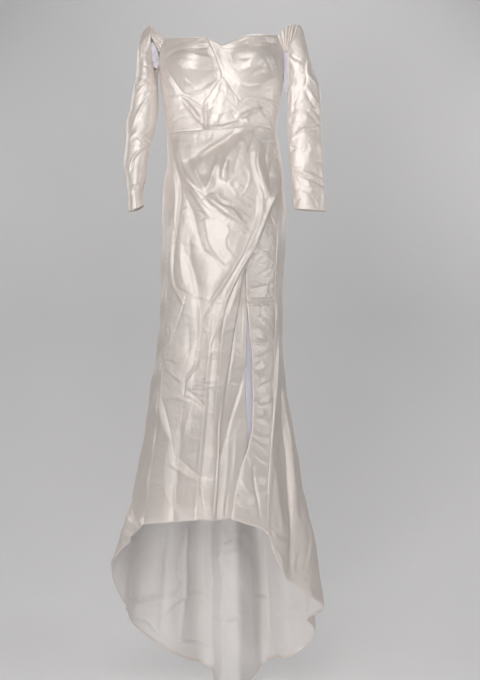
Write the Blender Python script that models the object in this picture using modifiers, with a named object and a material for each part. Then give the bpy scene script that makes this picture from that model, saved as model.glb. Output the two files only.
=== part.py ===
"""An off-the-shoulder trumpet wedding dress with long sleeves, a draped front wrap and a train.

Metres, +Z up. The dress hangs, hollow, from its two sleeve heads. The origin is midway between
their tops. The front faces -Y, and left and right are as seen from the front.
An angle goes round the body: 0 at the left side, 90 at the front, 180 at the right, 270 at the back.
"""

import math

import bpy
import numpy as np

# Driving sizes
SKIRT_WALL = 0.0016
BODICE_WALL = 0.0028
SLEEVE_WALL = 0.0016
SEAM_GAP = 0.0003
BODICE_INSET = 0.00034
SKIRT_INSET = 0.00024
OVERLAY_LIFT = 0.0046
UNDERLAP_DROP = 0.0046
UNDERLAP_SEAT = 0.0024
UNDERLAP_ROW = 8
SMOOTHING_SPAN = 0.06
SKIRT_ROWS = 31
OVERLAY_COLUMNS = 28
BACK_COLUMNS = 23
SLEEVE_COLUMNS = 16
SLEEVE_ROWS = 19
STRAP_CRINKLES = 6
STRAP_CRINKLE_HEIGHT = 0.0014
CUP_HEIGHT = 0.030
CUP_RADIUS = 0.056

# The body's section at each height: its left and right reach, and its depth in front and behind
# height, left, right, front, back
BODY = (
    (-0.020, 0.166, 0.166, 0.066, 0.050),
    (-0.060, 0.174, 0.172, 0.066, 0.052),
    (-0.100, 0.178, 0.174, 0.064, 0.055),
    (-0.145, 0.177, 0.174, 0.062, 0.055),
    (-0.191, 0.170, 0.169, 0.058, 0.052),
    (-0.240, 0.164, 0.160, 0.055, 0.050),
    (-0.305, 0.156, 0.154, 0.055, 0.050),
    (-0.374, 0.155, 0.165, 0.068, 0.062),
    (-0.442, 0.163, 0.174, 0.082, 0.082),
    (-0.510, 0.169, 0.180, 0.092, 0.100),
    (-0.624, 0.172, 0.182, 0.100, 0.115),
    (-0.761, 0.172, 0.170, 0.104, 0.120),
    (-0.898, 0.180, 0.169, 0.110, 0.126),
    (-1.035, 0.203, 0.182, 0.120, 0.142),
    (-1.172, 0.220, 0.204, 0.132, 0.162),
    (-1.308, 0.246, 0.229, 0.143, 0.186),
    (-1.445, 0.286, 0.257, 0.152, 0.206),
    (-1.548, 0.318, 0.275, 0.158, 0.218),
    (-1.650, 0.326, 0.287, 0.162, 0.226),
    (-1.910, 0.330, 0.292, 0.166, 0.236),
)

# Upright seams and cut edges of the skirt, as the angle of each at a height
# height, angle
LEFT_SEAM = (
    (-0.300, 8.0), (-0.360, 14.8), (-0.448, 21.6), (-0.520, 25.5), (-0.870, 27.9),
    (-1.036, 34.6), (-1.174, 34.2), (-1.300, 35.0), (-1.400, 39.2),
)
RIGHT_SEAM = (
    (-0.300, 177.0), (-0.370, 174.0), (-0.446, 162.6), (-0.520, 148.0), (-0.630, 147.0),
    (-0.870, 152.0), (-1.036, 144.0), (-1.166, 132.5), (-1.296, 124.7), (-1.410, 121.4),
)
CENTRE_BACK = ((-0.300, 270.0), (-0.900, 270.0), (-1.400, 267.0), (-1.900, 262.0))
WRAP_EDGE = (
    (-0.300, 176.7), (-0.370, 173.6), (-0.425, 166.0), (-0.467, 150.3), (-0.520, 138.8),
    (-0.557, 133.3), (-0.620, 124.1), (-0.665, 116.7), (-0.717, 109.5), (-0.797, 107.1),
    (-0.865, 103.0), (-0.941, 99.9), (-1.047, 95.3), (-1.146, 91.2), (-1.247, 90.1),
    (-1.382, 89.1),
)
UNDERLAP_LEFT = ((-0.620, 108.0), (-0.717, 97.0), (-0.940, 88.0), (-1.146, 80.0), (-1.380, 78.0))
UNDERLAP_RIGHT = (
    (-0.620, 116.0), (-0.692, 115.0), (-0.788, 118.5), (-0.860, 122.0), (-0.925, 124.2),
    (-1.048, 123.2), (-1.142, 119.9), (-1.195, 114.7), (-1.227, 110.8), (-1.282, 106.0),
    (-1.327, 103.7), (-1.377, 102.5),
)
SLIT_EDGE = (
    (-0.440, 158.0), (-0.467, 142.0), (-0.520, 129.0), (-0.620, 114.0), (-0.665, 109.5),
    (-0.700, 112.0), (-0.797, 115.3), (-0.930, 121.0), (-1.048, 120.0), (-1.142, 116.7),
    (-1.195, 111.5), (-1.227, 107.6), (-1.282, 102.8), (-1.327, 100.5), (-1.377, 99.3),
)

# Seams and edges that go round the body, as the height of each at an angle
# angle, height
WAIST_SEAM = (
    (-90.0, -0.308), (-45.0, -0.311), (0.0, -0.3137), (48.7, -0.3141), (69.5, -0.3118),
    (103.0, -0.3063), (127.0, -0.2984), (175.0, -0.3047), (225.0, -0.306), (270.0, -0.308),
)
SKIRT_HEM = (
    (-98.0, -1.958), (-89.0, -1.955), (-86.0, -1.925), (-77.0, -1.905), (-65.5, -1.869),
    (-51.3, -1.819), (-39.5, -1.769), (-23.5, -1.679), (-10.9, -1.608), (0.0, -1.533), (23.4, -1.462),
    (31.0, -1.433), (39.2, -1.4015), (53.6, -1.393), (67.5, -1.3855), (79.9, -1.378),
    (89.0, -1.382), (99.3, -1.377), (107.3, -1.391), (114.8, -1.401), (121.3, -1.417),
    (125.9, -1.492), (133.1, -1.549), (145.5, -1.586), (155.7, -1.616), (170.0, -1.647),
    (180.0, -1.672), (190.0, -1.702), (200.0, -1.745), (206.9, -1.793), (215.9, -1.832),
    (225.0, -1.864), (233.0, -1.872), (241.0, -1.890), (246.0, -1.915), (249.5, -1.950),
    (262.0, -1.958),
)
NECKLINE_LEFT = ((0.0, -0.047), (20.6, -0.0482), (54.0, -0.0562), (76.3, -0.0587))
NECKLINE_RIGHT = (
    (76.3, -0.0587), (90.8, -0.0806), (102.8, -0.0642), (116.6, -0.0507), (131.6, -0.0441),
    (157.0, -0.0393), (180.0, -0.039),
)
UNDER_BUST = (
    (0.0, -0.208), (20.0, -0.2106), (51.0, -0.2151), (61.0, -0.2304), (71.0, -0.2453),
    (82.0, -0.2021), (90.7, -0.1643), (101.0, -0.2047), (110.0, -0.2342), (119.0, -0.218),
    (136.0, -0.2192), (168.0, -0.2278), (180.0, -0.232),
)
BACK_TOP = (
    (-90.0, -0.041), (-60.0, -0.038), (-33.0, -0.040), (-27.0, -0.058), (-18.0, -0.095),
    (-10.0, -0.119), (-5.0, -0.119), (0.0, -0.100),
)
BACK_TOP_RIGHT = (
    (180.0, -0.105), (184.0, -0.150), (190.0, -0.168), (197.0, -0.145), (206.0, -0.090),
    (212.0, -0.056), (216.0, -0.040), (240.0, -0.038), (270.0, -0.041),
)
# height, angle
ARMHOLE_LEFT = ((-0.047, 20.6), (-0.065, 13.3), (-0.085, 0.0), (-0.300, 0.0))
ARMHOLE_RIGHT = ((-0.039, 157.5), (-0.061, 163.0), (-0.079, 174.0), (-0.095, 180.0), (-0.300, 180.0))
SURPLICE_EDGE = ((-0.058, 76.3), (-0.099, 82.8), (-0.137, 87.7), (-0.164, 90.7), (-0.300, 90.7))

# Column angles that the cups and the midriff share, so that the under-bust seam meets
FRONT_ANGLES = (
    0.0, 3.0, 10.0, 20.0, 31.0, 42.0, 51.0, 61.0, 71.0, 76.5, 82.0, 86.5, 90.7,
    96.0, 101.0, 106.8, 110.0, 119.0, 127.5, 136.0, 146.0, 157.0, 168.0, 177.0, 180.0,
)
LEFT_CUP_COLUMNS = 12

# Hanging flutes of the skirt: where each runs, how wide it is, how far it stands out, how it grows
# and how flat its crest is
# top_angle, hem_angle, half_width, height, starts, full, flatness
FLUTES = (
    (20.0, 22.0, 10.0, -0.010, -0.90, -1.40, 2.0),
    (166.0, 137.0, 9.0, -0.016, -0.95, -1.30, 2.0),
    (176.0, 166.0, 10.0, 0.007, -1.20, -1.60, 2.0),
    (192.0, 190.0, 8.0, -0.036, -1.10, -1.66, 2.0),
    (206.0, 207.0, 8.0, 0.014, -0.80, -1.60, 2.0),
    (222.0, 224.0, 8.0, -0.016, -0.70, -1.60, 2.0),
    (238.0, 241.0, 7.0, 0.020, -0.80, -1.60, 2.0),
    (262.0, 260.0, 12.0, -0.110, -0.95, -1.50, 6.0),
    (290.0, 279.0, 7.0, 0.022, -0.90, -1.60, 2.0),
    (306.0, 298.0, 9.0, -0.018, -0.60, -1.60, 2.0),
    (322.0, 318.0, 10.0, 0.014, -0.80, -1.60, 2.0),
    (342.0, 338.0, 10.0, -0.014, -0.90, -1.60, 2.0),
)

# Largest folds of the front, drawn in the front view: start, middle, end, half width and height
# x0, z0, x1, z1, x2, z2, half_width, height
DRAPE = (
    (0.034, -0.324, -0.018, -0.360, -0.071, -0.387, 0.016, -0.0090),
    (-0.127, -0.336, -0.110, -0.422, -0.042, -0.505, 0.018, 0.0120),
    (-0.042, -0.505, -0.004, -0.536, 0.056, -0.578, 0.018, 0.0110),
    (-0.083, -0.400, -0.062, -0.448, -0.042, -0.492, 0.013, 0.0060),
    (-0.013, -0.398, -0.026, -0.443, -0.040, -0.490, 0.013, 0.0060),
    (0.083, -0.318, 0.010, -0.408, 0.012, -0.463, 0.018, 0.0110),
    (0.115, -0.350, 0.098, -0.400, 0.132, -0.515, 0.015, 0.0090),
    (0.150, -0.362, 0.138, -0.417, 0.127, -0.476, 0.015, -0.0080),
    (-0.150, -0.325, -0.127, -0.523, -0.132, -0.617, 0.016, 0.0050),
    (0.161, -0.452, 0.124, -0.543, 0.088, -0.645, 0.016, 0.0100),
    (0.088, -0.645, 0.046, -0.720, 0.012, -0.794, 0.018, 0.0100),
    (0.012, -0.794, -0.003, -0.941, -0.021, -1.140, 0.018, 0.0080),
    (-0.160, -0.840, -0.175, -1.047, -0.134, -1.176, 0.018, 0.0060),
    (-0.110, -0.640, -0.060, -0.800, -0.075, -1.000, 0.032, -0.0090),
    (-0.030, -0.900, -0.045, -1.100, -0.070, -1.390, 0.026, 0.0090),
    (-0.110, -1.130, -0.120, -1.250, -0.130, -1.395, 0.022, -0.0080),
)
MIDRIFF_FOLDS = (
    (-0.117, -0.217, -0.089, -0.255, -0.061, -0.290, 0.013, -0.0070),
    (-0.046, -0.236, -0.045, -0.279, -0.046, -0.316, 0.010, -0.0080),
    (0.110, -0.250, 0.085, -0.263, 0.059, -0.278, 0.012, 0.0055),
    (0.083, -0.255, 0.051, -0.281, 0.006, -0.307, 0.012, 0.0060),
    (-0.027, -0.296, 0.018, -0.291, 0.059, -0.281, 0.013, -0.0060),
)

# Sleeves: reach of each towards and away from the body, half depth and middle depth at a height
# height, inner, outer, half_depth, middle
LEFT_SLEEVE = (
    (0.000, 0.199, 0.2165, 0.010, 0.002),
    (-0.015, 0.200, 0.2240, 0.018, 0.003),
    (-0.035, 0.202, 0.2320, 0.026, 0.004),
    (-0.080, 0.202, 0.2410, 0.036, 0.006),
    (-0.130, 0.189, 0.2445, 0.042, 0.008),
    (-0.157, 0.186, 0.2480, 0.044, 0.008),
    (-0.191, 0.183, 0.2560, 0.040, 0.006),
    (-0.237, 0.182, 0.2600, 0.036, 0.004),
    (-0.282, 0.187, 0.2730, 0.032, 0.000),
    (-0.328, 0.2010, 0.2705, 0.033, -0.004),
    (-0.373, 0.2095, 0.2755, 0.031, -0.006),
    (-0.400, 0.2130, 0.2790, 0.030, -0.008),
    (-0.442, 0.2180, 0.2710, 0.031, -0.010),
    (-0.487, 0.2260, 0.2670, 0.033, -0.012),
    (-0.530, 0.2200, 0.2650, 0.031, -0.012),
)
RIGHT_SLEEVE = (
    (0.000, 0.200, 0.2260, 0.008, 0.002),
    (-0.015, 0.198, 0.2310, 0.014, 0.003),
    (-0.035, 0.194, 0.2370, 0.018, 0.004),
    (-0.080, 0.188, 0.2500, 0.024, 0.006),
    (-0.130, 0.188, 0.2640, 0.026, 0.008),
    (-0.170, 0.189, 0.2780, 0.025, 0.008),
    (-0.210, 0.189, 0.2810, 0.022, 0.006),
    (-0.282, 0.186, 0.2830, 0.019, 0.004),
    (-0.340, 0.192, 0.2850, 0.018, 0.002),
    (-0.420, 0.195, 0.2905, 0.016, 0.000),
    (-0.487, 0.201, 0.2930, 0.015, -0.002),
    (-0.530, 0.206, 0.2970, 0.015, -0.002),
)
# The slanted top ring of each sleeve, from its inner side by the front, the outer side and the
# back of the peak. Its last quarter is sewn to the back of the bodice. Reach is how far down
# the ring's own shape is felt
# x, y, z, reach
LEFT_RING = (
    (-0.1895, -0.004, -0.131, 0.05),
    (-0.1940, -0.010, -0.128, 0.05),
    (-0.1985, -0.015, -0.112, 0.05),
    (-0.2008, -0.018, -0.088, 0.05),
    (-0.2018, -0.019, -0.066, 0.05),
    (-0.2022, -0.018, -0.048, 0.04),
    (-0.2024, -0.017, -0.034, 0.03),
    (-0.2025, -0.014, -0.021, 0.03),
    (-0.2075, -0.003, -0.0015, 0.02),
    (-0.1970, 0.010, -0.004, 0.04),
    (-0.1860, 0.022, -0.011, 0.05),
    (-0.1690, 0.031, -0.024, 0.05),
)
RIGHT_RING = (
    (0.1885, -0.006, -0.192, 0.05),
    (0.1882, -0.014, -0.162, 0.05),
    (0.1880, -0.018, -0.122, 0.05),
    (0.1881, -0.020, -0.081, 0.05),
    (0.1960, -0.018, -0.062, 0.04),
    (0.2053, -0.016, -0.042, 0.03),
    (0.2135, -0.011, -0.022, 0.03),
    (0.2216, -0.006, -0.0025, 0.02),
    (0.2200, 0.004, -0.0010, 0.02),
    (0.2090, 0.016, -0.003, 0.04),
    (0.1910, 0.028, -0.010, 0.05),
    (0.1700, 0.034, -0.024, 0.05),
)
LEFT_STRAP_POINTS = slice(7, 9)
RIGHT_STRAP_POINTS = slice(3, 8)
# Cuff height at an angle round the sleeve
LEFT_CUFF = (
    (0.0, -0.513), (45.0, -0.522), (90.0, -0.531), (135.0, -0.536), (180.0, -0.535),
    (270.0, -0.526), (360.0, -0.513),
)
RIGHT_CUFF = ((0.0, -0.523), (90.0, -0.529), (180.0, -0.5315), (270.0, -0.529), (360.0, -0.523))
# Twist folds of the sleeves, drawn in the front view as those of the drape are
LEFT_SLEEVE_FOLDS = (
    (-0.190, -0.150, -0.222, -0.157, -0.254, -0.190, 0.008, -0.0040),
    (-0.200, -0.182, -0.225, -0.235, -0.256, -0.296, 0.008, 0.0045),
    (-0.226, -0.214, -0.242, -0.254, -0.260, -0.294, 0.008, -0.0035),
    (-0.200, -0.305, -0.225, -0.320, -0.268, -0.339, 0.008, 0.0035),
    (-0.214, -0.331, -0.240, -0.370, -0.268, -0.410, 0.008, -0.0040),
)
RIGHT_SLEEVE_FOLDS = (
    (0.187, -0.290, 0.230, -0.294, 0.280, -0.286, 0.010, -0.0030),
    (0.199, -0.421, 0.240, -0.440, 0.288, -0.460, 0.010, -0.0035),
    (0.245, -0.130, 0.262, -0.190, 0.276, -0.240, 0.010, 0.0030),
)


def window_mean(table, column, places, span):
    """Read a table at these places, averaged over a span, so that its rows join smoothly."""
    rows = np.array(table)
    rows = rows[np.argsort(rows[:, 0])]
    offsets = np.linspace(-1.0, 1.0, 9)
    weights = np.cos(offsets * math.pi / 2.4)
    weights = weights / weights.sum()
    total = np.zeros_like(places)
    for offset, weight in zip(offsets, weights):
        total = total + weight * np.interp(places + offset * span / 2, rows[:, 0], rows[:, column])
    return total


def ease(values):
    """Go smoothly from 0 to 1."""
    held = np.clip(values, 0.0, 1.0)
    return held * held * (3.0 - 2.0 * held)


def flute_height(angles, heights):
    """How far the skirt's hanging flutes push the cloth out."""
    total = np.zeros_like(angles)
    for top_angle, hem_angle, half_width, height, starts, full, flatness in FLUTES:
        way = ease((-0.4 - heights) / 1.4)
        middle = top_angle + (hem_angle - top_angle) * way
        across = (angles - middle + 180.0) % 360.0 - 180.0
        growth = ease((starts - heights) / (starts - full))
        total = total + height * growth * np.exp(-(np.abs(across / half_width) ** flatness))
    return total


def fold_height(xs, zs, folds):
    """How far these folds push the cloth out, by the distance from each fold's curve."""
    total = np.zeros_like(xs)
    steps = np.linspace(0.0, 1.0, 13)
    first = (1.0 - steps) * (1.0 - 2.0 * steps)
    middle = 4.0 * steps * (1.0 - steps)
    last = steps * (2.0 * steps - 1.0)
    for x0, z0, x1, z1, x2, z2, half_width, height in folds:
        curve_x = x0 * first + x1 * middle + x2 * last
        curve_z = z0 * first + z1 * middle + z2 * last
        apart = np.hypot(xs[..., None] - curve_x, zs[..., None] - curve_z)
        nearest = apart.argmin(axis=-1)
        taper = np.sin(math.pi * (0.12 + 0.76 * steps))[nearest]
        total = total + height * taper * np.exp(-((apart.min(axis=-1) / half_width) ** 2))
    return total


def body_points(angles, heights, lift, folds):
    """Points of the dress at these angles and heights, moved out by lift, folds and flutes."""
    left = window_mean(BODY, 1, heights, SMOOTHING_SPAN)
    right = window_mean(BODY, 2, heights, SMOOTHING_SPAN)
    front = window_mean(BODY, 3, heights, SMOOTHING_SPAN)
    back = window_mean(BODY, 4, heights, SMOOTHING_SPAN)
    turn = np.radians(angles)
    half = (left + right) / 2
    depth = np.where(np.sin(turn) > 0, front, back)
    x = (right - left) / 2 - half * np.cos(turn)
    y = -depth * np.sin(turn)
    out_x = -np.cos(turn) * depth
    out_y = -np.sin(turn) * half
    size = np.hypot(out_x, out_y)
    facing = ease((np.sin(turn) + 0.05) / 0.3)
    push = lift + flute_height(angles, heights) + facing * fold_height(x, heights, folds)
    push = push + facing * cup_height(x, heights)
    return np.stack([x + out_x / size * push, y + out_y / size * push, heights], axis=-1)


def cup_height(xs, zs):
    """How far the two padded cups push the bodice out."""
    total = np.zeros_like(xs)
    for middle_x, middle_z in ((-0.083, -0.128), (0.088, -0.124)):
        apart = np.hypot(xs - middle_x, (zs - middle_z) * 1.05)
        total = total + CUP_HEIGHT * np.exp(-((apart / CUP_RADIUS) ** 2.4))
    return total


def panel_grid(left, right, top, bottom, across, down):
    """Angles and heights of a panel between two upright edges, a top edge and a bottom edge."""

    def angle_at(heights):
        left_angle = np.interp(heights, *sorted_columns(left))
        right_angle = np.interp(heights, *sorted_columns(right))
        return left_angle + (right_angle - left_angle) * across

    top_height = np.full_like(across, -0.3)
    bottom_height = np.full_like(across, -1.4)
    for _ in range(60):
        top_height = 0.5 * top_height + 0.5 * np.interp(angle_at(top_height), *sorted_columns(top))
        bottom_height = 0.5 * bottom_height + 0.5 * np.interp(
            angle_at(bottom_height), *sorted_columns(bottom)
        )
    heights = top_height + (bottom_height - top_height) * down[:, None]
    return angle_at(heights), heights


def sorted_columns(table):
    """A two-column table as two arrays with the first one rising."""
    rows = np.array(table)
    rows = rows[np.argsort(rows[:, 0])]
    return rows[:, 0], rows[:, 1]


def moved_angles(table, turn):
    """The same edge or hem with its angles turned by whole degrees."""
    return tuple((height, angle + turn) for height, angle in table)


def inset(points, sides, step_in):
    """Draw the named sides of a grid of points in by half the gap of their seams."""
    points = points.copy()
    pairs = {
        "left": ((slice(None), 0), (slice(None), 1)),
        "right": ((slice(None), -1), (slice(None), -2)),
        "top": ((0,), (1,)),
        "bottom": ((-1,), (-2,)),
    }
    for side in sides:
        edge, inner = pairs[side]
        step = points[inner] - points[edge]
        length = np.linalg.norm(step, axis=-1, keepdims=True)
        points[edge] = points[edge] + step / length * step_in
    return points


def spaced(count, narrow_start=True, narrow_end=True, narrow=0.3):
    """Fractions from 0 to 1 with a narrow first or last step, which keeps seam walls square."""
    steps = np.ones(count)
    if narrow_start:
        steps[0] = narrow
    if narrow_end:
        steps[-1] = narrow
    return np.concatenate([[0.0], np.cumsum(steps)]) / steps.sum()


def cloth_object(name, points, wall, material, closed=False):
    """Make a grid of points an open surface facing outwards, with Solidify for its wall."""
    rows, columns = points.shape[:2]
    index = np.arange(rows * columns).reshape(rows, columns)
    if closed:
        index = np.concatenate([index, index[:, :1]], axis=1)
    faces = np.stack([index[:-1, :-1], index[1:, :-1], index[1:, 1:], index[:-1, 1:]], axis=-1)
    mesh = bpy.data.meshes.new(name)
    mesh.from_pydata(points.reshape(-1, 3).tolist(), [], faces.reshape(-1, 4).tolist())
    mesh.materials.append(material)
    mesh.shade_smooth()
    piece = bpy.data.objects.new(name, mesh)
    collection.objects.link(piece)
    solidify = piece.modifiers.new("wall", "SOLIDIFY")
    solidify.thickness = wall
    solidify.offset = 0.0
    return piece


def along_line(line, fractions):
    """Points at these fractions of the length of a line of points."""
    lengths = np.concatenate([[0.0], np.cumsum(np.linalg.norm(np.diff(line, axis=0), axis=1))])
    places = np.asarray(fractions) * lengths[-1]
    return np.stack([np.interp(places, lengths, line[:, k]) for k in range(3)], axis=-1)


def sleeve_points(side, sections, ring, back_edge, cuff, folds):
    """A sleeve from its slanted top ring down to its cuff, as rings of points."""
    angles = np.arange(SLEEVE_COLUMNS) * 360.0 / SLEEVE_COLUMNS
    turn = np.radians(angles)
    ring_rows = np.array(ring)
    sewn = along_line(back_edge, np.linspace(0.0, 1.0, SLEEVE_COLUMNS - len(ring)))
    top = np.concatenate([ring_rows[:, :3], sewn])
    reach = np.concatenate([ring_rows[:, 3], np.full(len(sewn), 0.04)])

    def section_at(heights):
        inner = window_mean(sections, 1, heights, 0.02)
        outer = window_mean(sections, 2, heights, 0.02)
        half_depth = window_mean(sections, 3, heights, 0.02)
        middle = window_mean(sections, 4, heights, 0.02)
        half = (outer - inner) / 2
        x = side * ((outer + inner) / 2 - half * np.cos(turn))
        y = middle - half_depth * np.sin(turn)
        out_x = -side * np.cos(turn) * half_depth
        out_y = -np.sin(turn) * half
        size = np.hypot(out_x, out_y)
        return x, y, out_x / size, out_y / size

    cuff_rows = np.array(cuff)
    cuff_height = np.interp(angles, cuff_rows[:, 0], cuff_rows[:, 1])
    down = (np.linspace(0.0, 1.0, SLEEVE_ROWS + 1) ** 1.3)[:, None]
    heights = top[:, 2] + (cuff_height - top[:, 2]) * down
    x, y, out_x, out_y = section_at(heights)
    top_x, top_y = section_at(top[:, 2])[:2]
    hold = 1.0 - ease((top[:, 2] - heights) / reach)
    front = ease((np.sin(turn) + 0.1) / 0.4)
    behind = ease((-np.sin(turn) + 0.1) / 0.4)
    push = front * fold_height(x, heights, folds) + behind * fold_height(x, heights + 0.03, folds)
    push = push * ease((top[:, 2] - heights) / 0.04)
    x = x + (top[:, 0] - top_x) * hold + out_x * push
    y = y + (top[:, 1] - top_y) * hold + out_y * push
    return np.stack([x, y, heights], axis=-1)


def strap_points(edge, peak, side, step_in, rise, columns, rows, slant):
    """A ruched fan from the armhole edge of a cup to the sleeve's peak."""
    across = np.linspace(0.0, 1.0, columns + 1)
    along = np.linspace(0.0, 1.0, rows + 1)[:, None]
    seam = along_line(edge, across)
    peak_line = along_line(peak, across)
    seam[:, 0] = seam[:, 0] + side * (SEAM_GAP + BODICE_WALL / 2 + 0.0006)
    step = seam - peak_line
    peak_line = peak_line + step / np.linalg.norm(step, axis=-1, keepdims=True) * step_in
    points = seam + (peak_line - seam) * along[..., None]
    bulge = np.sin(math.pi * along)
    phase = 2 * math.pi * STRAP_CRINKLES * (slant * across + (1.0 - slant) * along)
    points[..., 1] = points[..., 1] - bulge * 0.003 - STRAP_CRINKLE_HEIGHT * np.sin(phase) * bulge**0.5
    points[..., 2] = points[..., 2] + rise * bulge * (1.0 - across) ** 1.5
    return points[:, ::-1] if side < 0 else points


def satin(name, colour):
    """A soft satin cloth material."""
    material = bpy.data.materials.new(name)
    material.use_nodes = True
    shader = material.node_tree.nodes["Principled BSDF"]
    shader.inputs["Base Color"].default_value = (*colour, 1.0)
    shader.inputs["Roughness"].default_value = 0.38
    shader.inputs["Metallic"].default_value = 0.0
    return material


for old in list(bpy.data.objects):
    bpy.data.objects.remove(old, do_unlink=True)
collection = bpy.data.collections.new("wedding_dress")
bpy.context.scene.collection.children.link(collection)

front = np.array(FRONT_ANGLES)
left_fractions = front[: LEFT_CUP_COLUMNS + 1] / front[LEFT_CUP_COLUMNS]
right_angles = front[LEFT_CUP_COLUMNS:]
right_fractions = (right_angles - right_angles[0]) / (180.0 - right_angles[0])
left_side = ((-0.4, 0.0), (0.0, 0.0))
right_side = ((-0.4, 180.0), (0.0, 180.0))

# Bodice front: two cups and the midriff
cup_rows = np.linspace(0, 1, 9)
grid = panel_grid(ARMHOLE_LEFT, SURPLICE_EDGE, NECKLINE_LEFT, UNDER_BUST, left_fractions, cup_rows)
cup_left = inset(body_points(*grid, 0.0, MIDRIFF_FOLDS), ("left", "right", "bottom"), BODICE_INSET)
cloth_object("cup_left", cup_left, BODICE_WALL, satin("cup left satin", (0.80, 0.74, 0.70)))

grid = panel_grid(SURPLICE_EDGE, ARMHOLE_RIGHT, NECKLINE_RIGHT, UNDER_BUST, right_fractions, cup_rows)
cup_right = inset(body_points(*grid, 0.0, MIDRIFF_FOLDS), ("left", "right", "bottom"), BODICE_INSET)
cloth_object("cup_right", cup_right, BODICE_WALL, satin("cup right satin", (0.79, 0.73, 0.69)))

grid = panel_grid(left_side, right_side, UNDER_BUST, WAIST_SEAM, front / 180.0, np.linspace(0, 1, 6))
midriff_sides = ("left", "right", "top", "bottom")
midriff = inset(body_points(*grid, 0.0, MIDRIFF_FOLDS), midriff_sides, BODICE_INSET)
cloth_object("midriff_front", midriff, BODICE_WALL, satin("midriff satin", (0.78, 0.72, 0.68)))

# Bodice back: two halves that meet at the centre-back seam
centre_left = ((-0.4, -90.0), (0.0, -90.0))
centre_right = ((-0.4, 270.0), (0.0, 270.0))
back_across = np.array((0.0, 0.05, 0.2, 0.36, 0.5, 0.64, 0.72, 0.80, 0.89, 0.96, 1.0))
grid = panel_grid(centre_left, left_side, BACK_TOP, WAIST_SEAM, back_across, cup_rows)
left_join = body_points(grid[0][0, 5:10], grid[1][0, 5:10] + 0.0020, 0.0024, ())
back_left = inset(body_points(*grid, 0.0, ()), ("left", "right", "bottom"), BODICE_INSET)
cloth_object("bodice_back_left", back_left, BODICE_WALL, satin("back left satin", (0.78, 0.73, 0.69)))

back_across = 1.0 - back_across[::-1]
grid = panel_grid(right_side, centre_right, BACK_TOP_RIGHT, WAIST_SEAM, back_across, cup_rows)
right_join = body_points(grid[0][0, 5:0:-1], grid[1][0, 5:0:-1] + 0.0020, 0.0024, ())
back_right = inset(body_points(*grid, 0.0, ()), ("left", "right", "bottom"), BODICE_INSET)
cloth_object("bodice_back_right", back_right, BODICE_WALL, satin("back right satin", (0.78, 0.73, 0.69)))

# Skirt front: overlay, underlap and the panel right of the slit
down = np.interp(np.linspace(0, 1, SKIRT_ROWS + 1), (0.0, 0.42, 1.0), (0.0, 0.28, 1.0))
across = spaced(OVERLAY_COLUMNS)
angles, heights = panel_grid(LEFT_SEAM, WRAP_EDGE, WAIST_SEAM, SKIRT_HEM, across, down)
lift = OVERLAY_LIFT * ease((angles - 42.0) / 38.0) * ease((-0.33 - heights) / 0.10)
overlay = inset(body_points(angles, heights, lift, DRAPE), ("left", "right", "top"), SKIRT_INSET)
cloth_object("skirt_overlay", overlay, SKIRT_WALL, satin("overlay satin", (0.80, 0.75, 0.71)))

across = spaced(9, False, True)
angles, heights = panel_grid(SLIT_EDGE, RIGHT_SEAM, WAIST_SEAM, SKIRT_HEM, across, down)
front_right = inset(body_points(angles[6:], heights[6:], 0.0, DRAPE), ("right",), SKIRT_INSET)
cloth_object("skirt_front_right", front_right, SKIRT_WALL, satin("front right satin", (0.77, 0.71, 0.67)))

# The underlap's top edge is sewn behind the edge of the right front
underlap_top = ((60.0, -0.64), (130.0, -0.64))
across = np.linspace(0, 1, 4)
underlap_rows = np.linspace(0, 1, 20)
angles, heights = panel_grid(
    UNDERLAP_LEFT, UNDERLAP_RIGHT, underlap_top, SKIRT_HEM, across, underlap_rows
)
underlap = body_points(angles, heights, -UNDERLAP_DROP, DRAPE)
underlap[0, 2:] = front_right[UNDERLAP_ROW, :2] + (0.0, UNDERLAP_SEAT, 0.0)
cloth_object("skirt_underlap", underlap, SKIRT_WALL, satin("underlap satin", (0.80, 0.76, 0.70)))

# Skirt back with the train: two halves that meet at the centre-back seam
across = np.interp(spaced(BACK_COLUMNS), (0.0, 0.35, 1.0), (0.0, 0.19, 1.0))
centre_back = moved_angles(CENTRE_BACK, -360.0)
angles, heights = panel_grid(centre_back, LEFT_SEAM, WAIST_SEAM, SKIRT_HEM, across, down)
skirt_left = inset(body_points(angles, heights, 0.0, ()), ("left", "right", "top"), SKIRT_INSET)
cloth_object("skirt_back_left", skirt_left, SKIRT_WALL, satin("train left satin", (0.79, 0.76, 0.76)))

angles, heights = panel_grid(RIGHT_SEAM, CENTRE_BACK, WAIST_SEAM, SKIRT_HEM, 1.0 - across[::-1], down)
skirt_right = inset(body_points(angles, heights, 0.0, ()), ("left", "right", "top"), SKIRT_INSET)
cloth_object("skirt_back_right", skirt_right, SKIRT_WALL, satin("train right satin", (0.79, 0.76, 0.76)))

# Sleeves, open at both ends, and the ruched strap fans that join them to the cups
sleeve = sleeve_points(-1, LEFT_SLEEVE, LEFT_RING, left_join, LEFT_CUFF, LEFT_SLEEVE_FOLDS)
left_satin = satin("sleeve left satin", (0.77, 0.71, 0.67))
cloth_object("sleeve_left", sleeve, SLEEVE_WALL, left_satin, True)
left_peak = sleeve[0, LEFT_STRAP_POINTS][::-1]
strap = strap_points(cup_left[:3, 0], left_peak, -1, 0.0036, 0.001, 18, 4, 1.0)
cloth_object("strap_left", strap, SLEEVE_WALL, satin("strap left satin", (0.79, 0.74, 0.70)))

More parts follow.
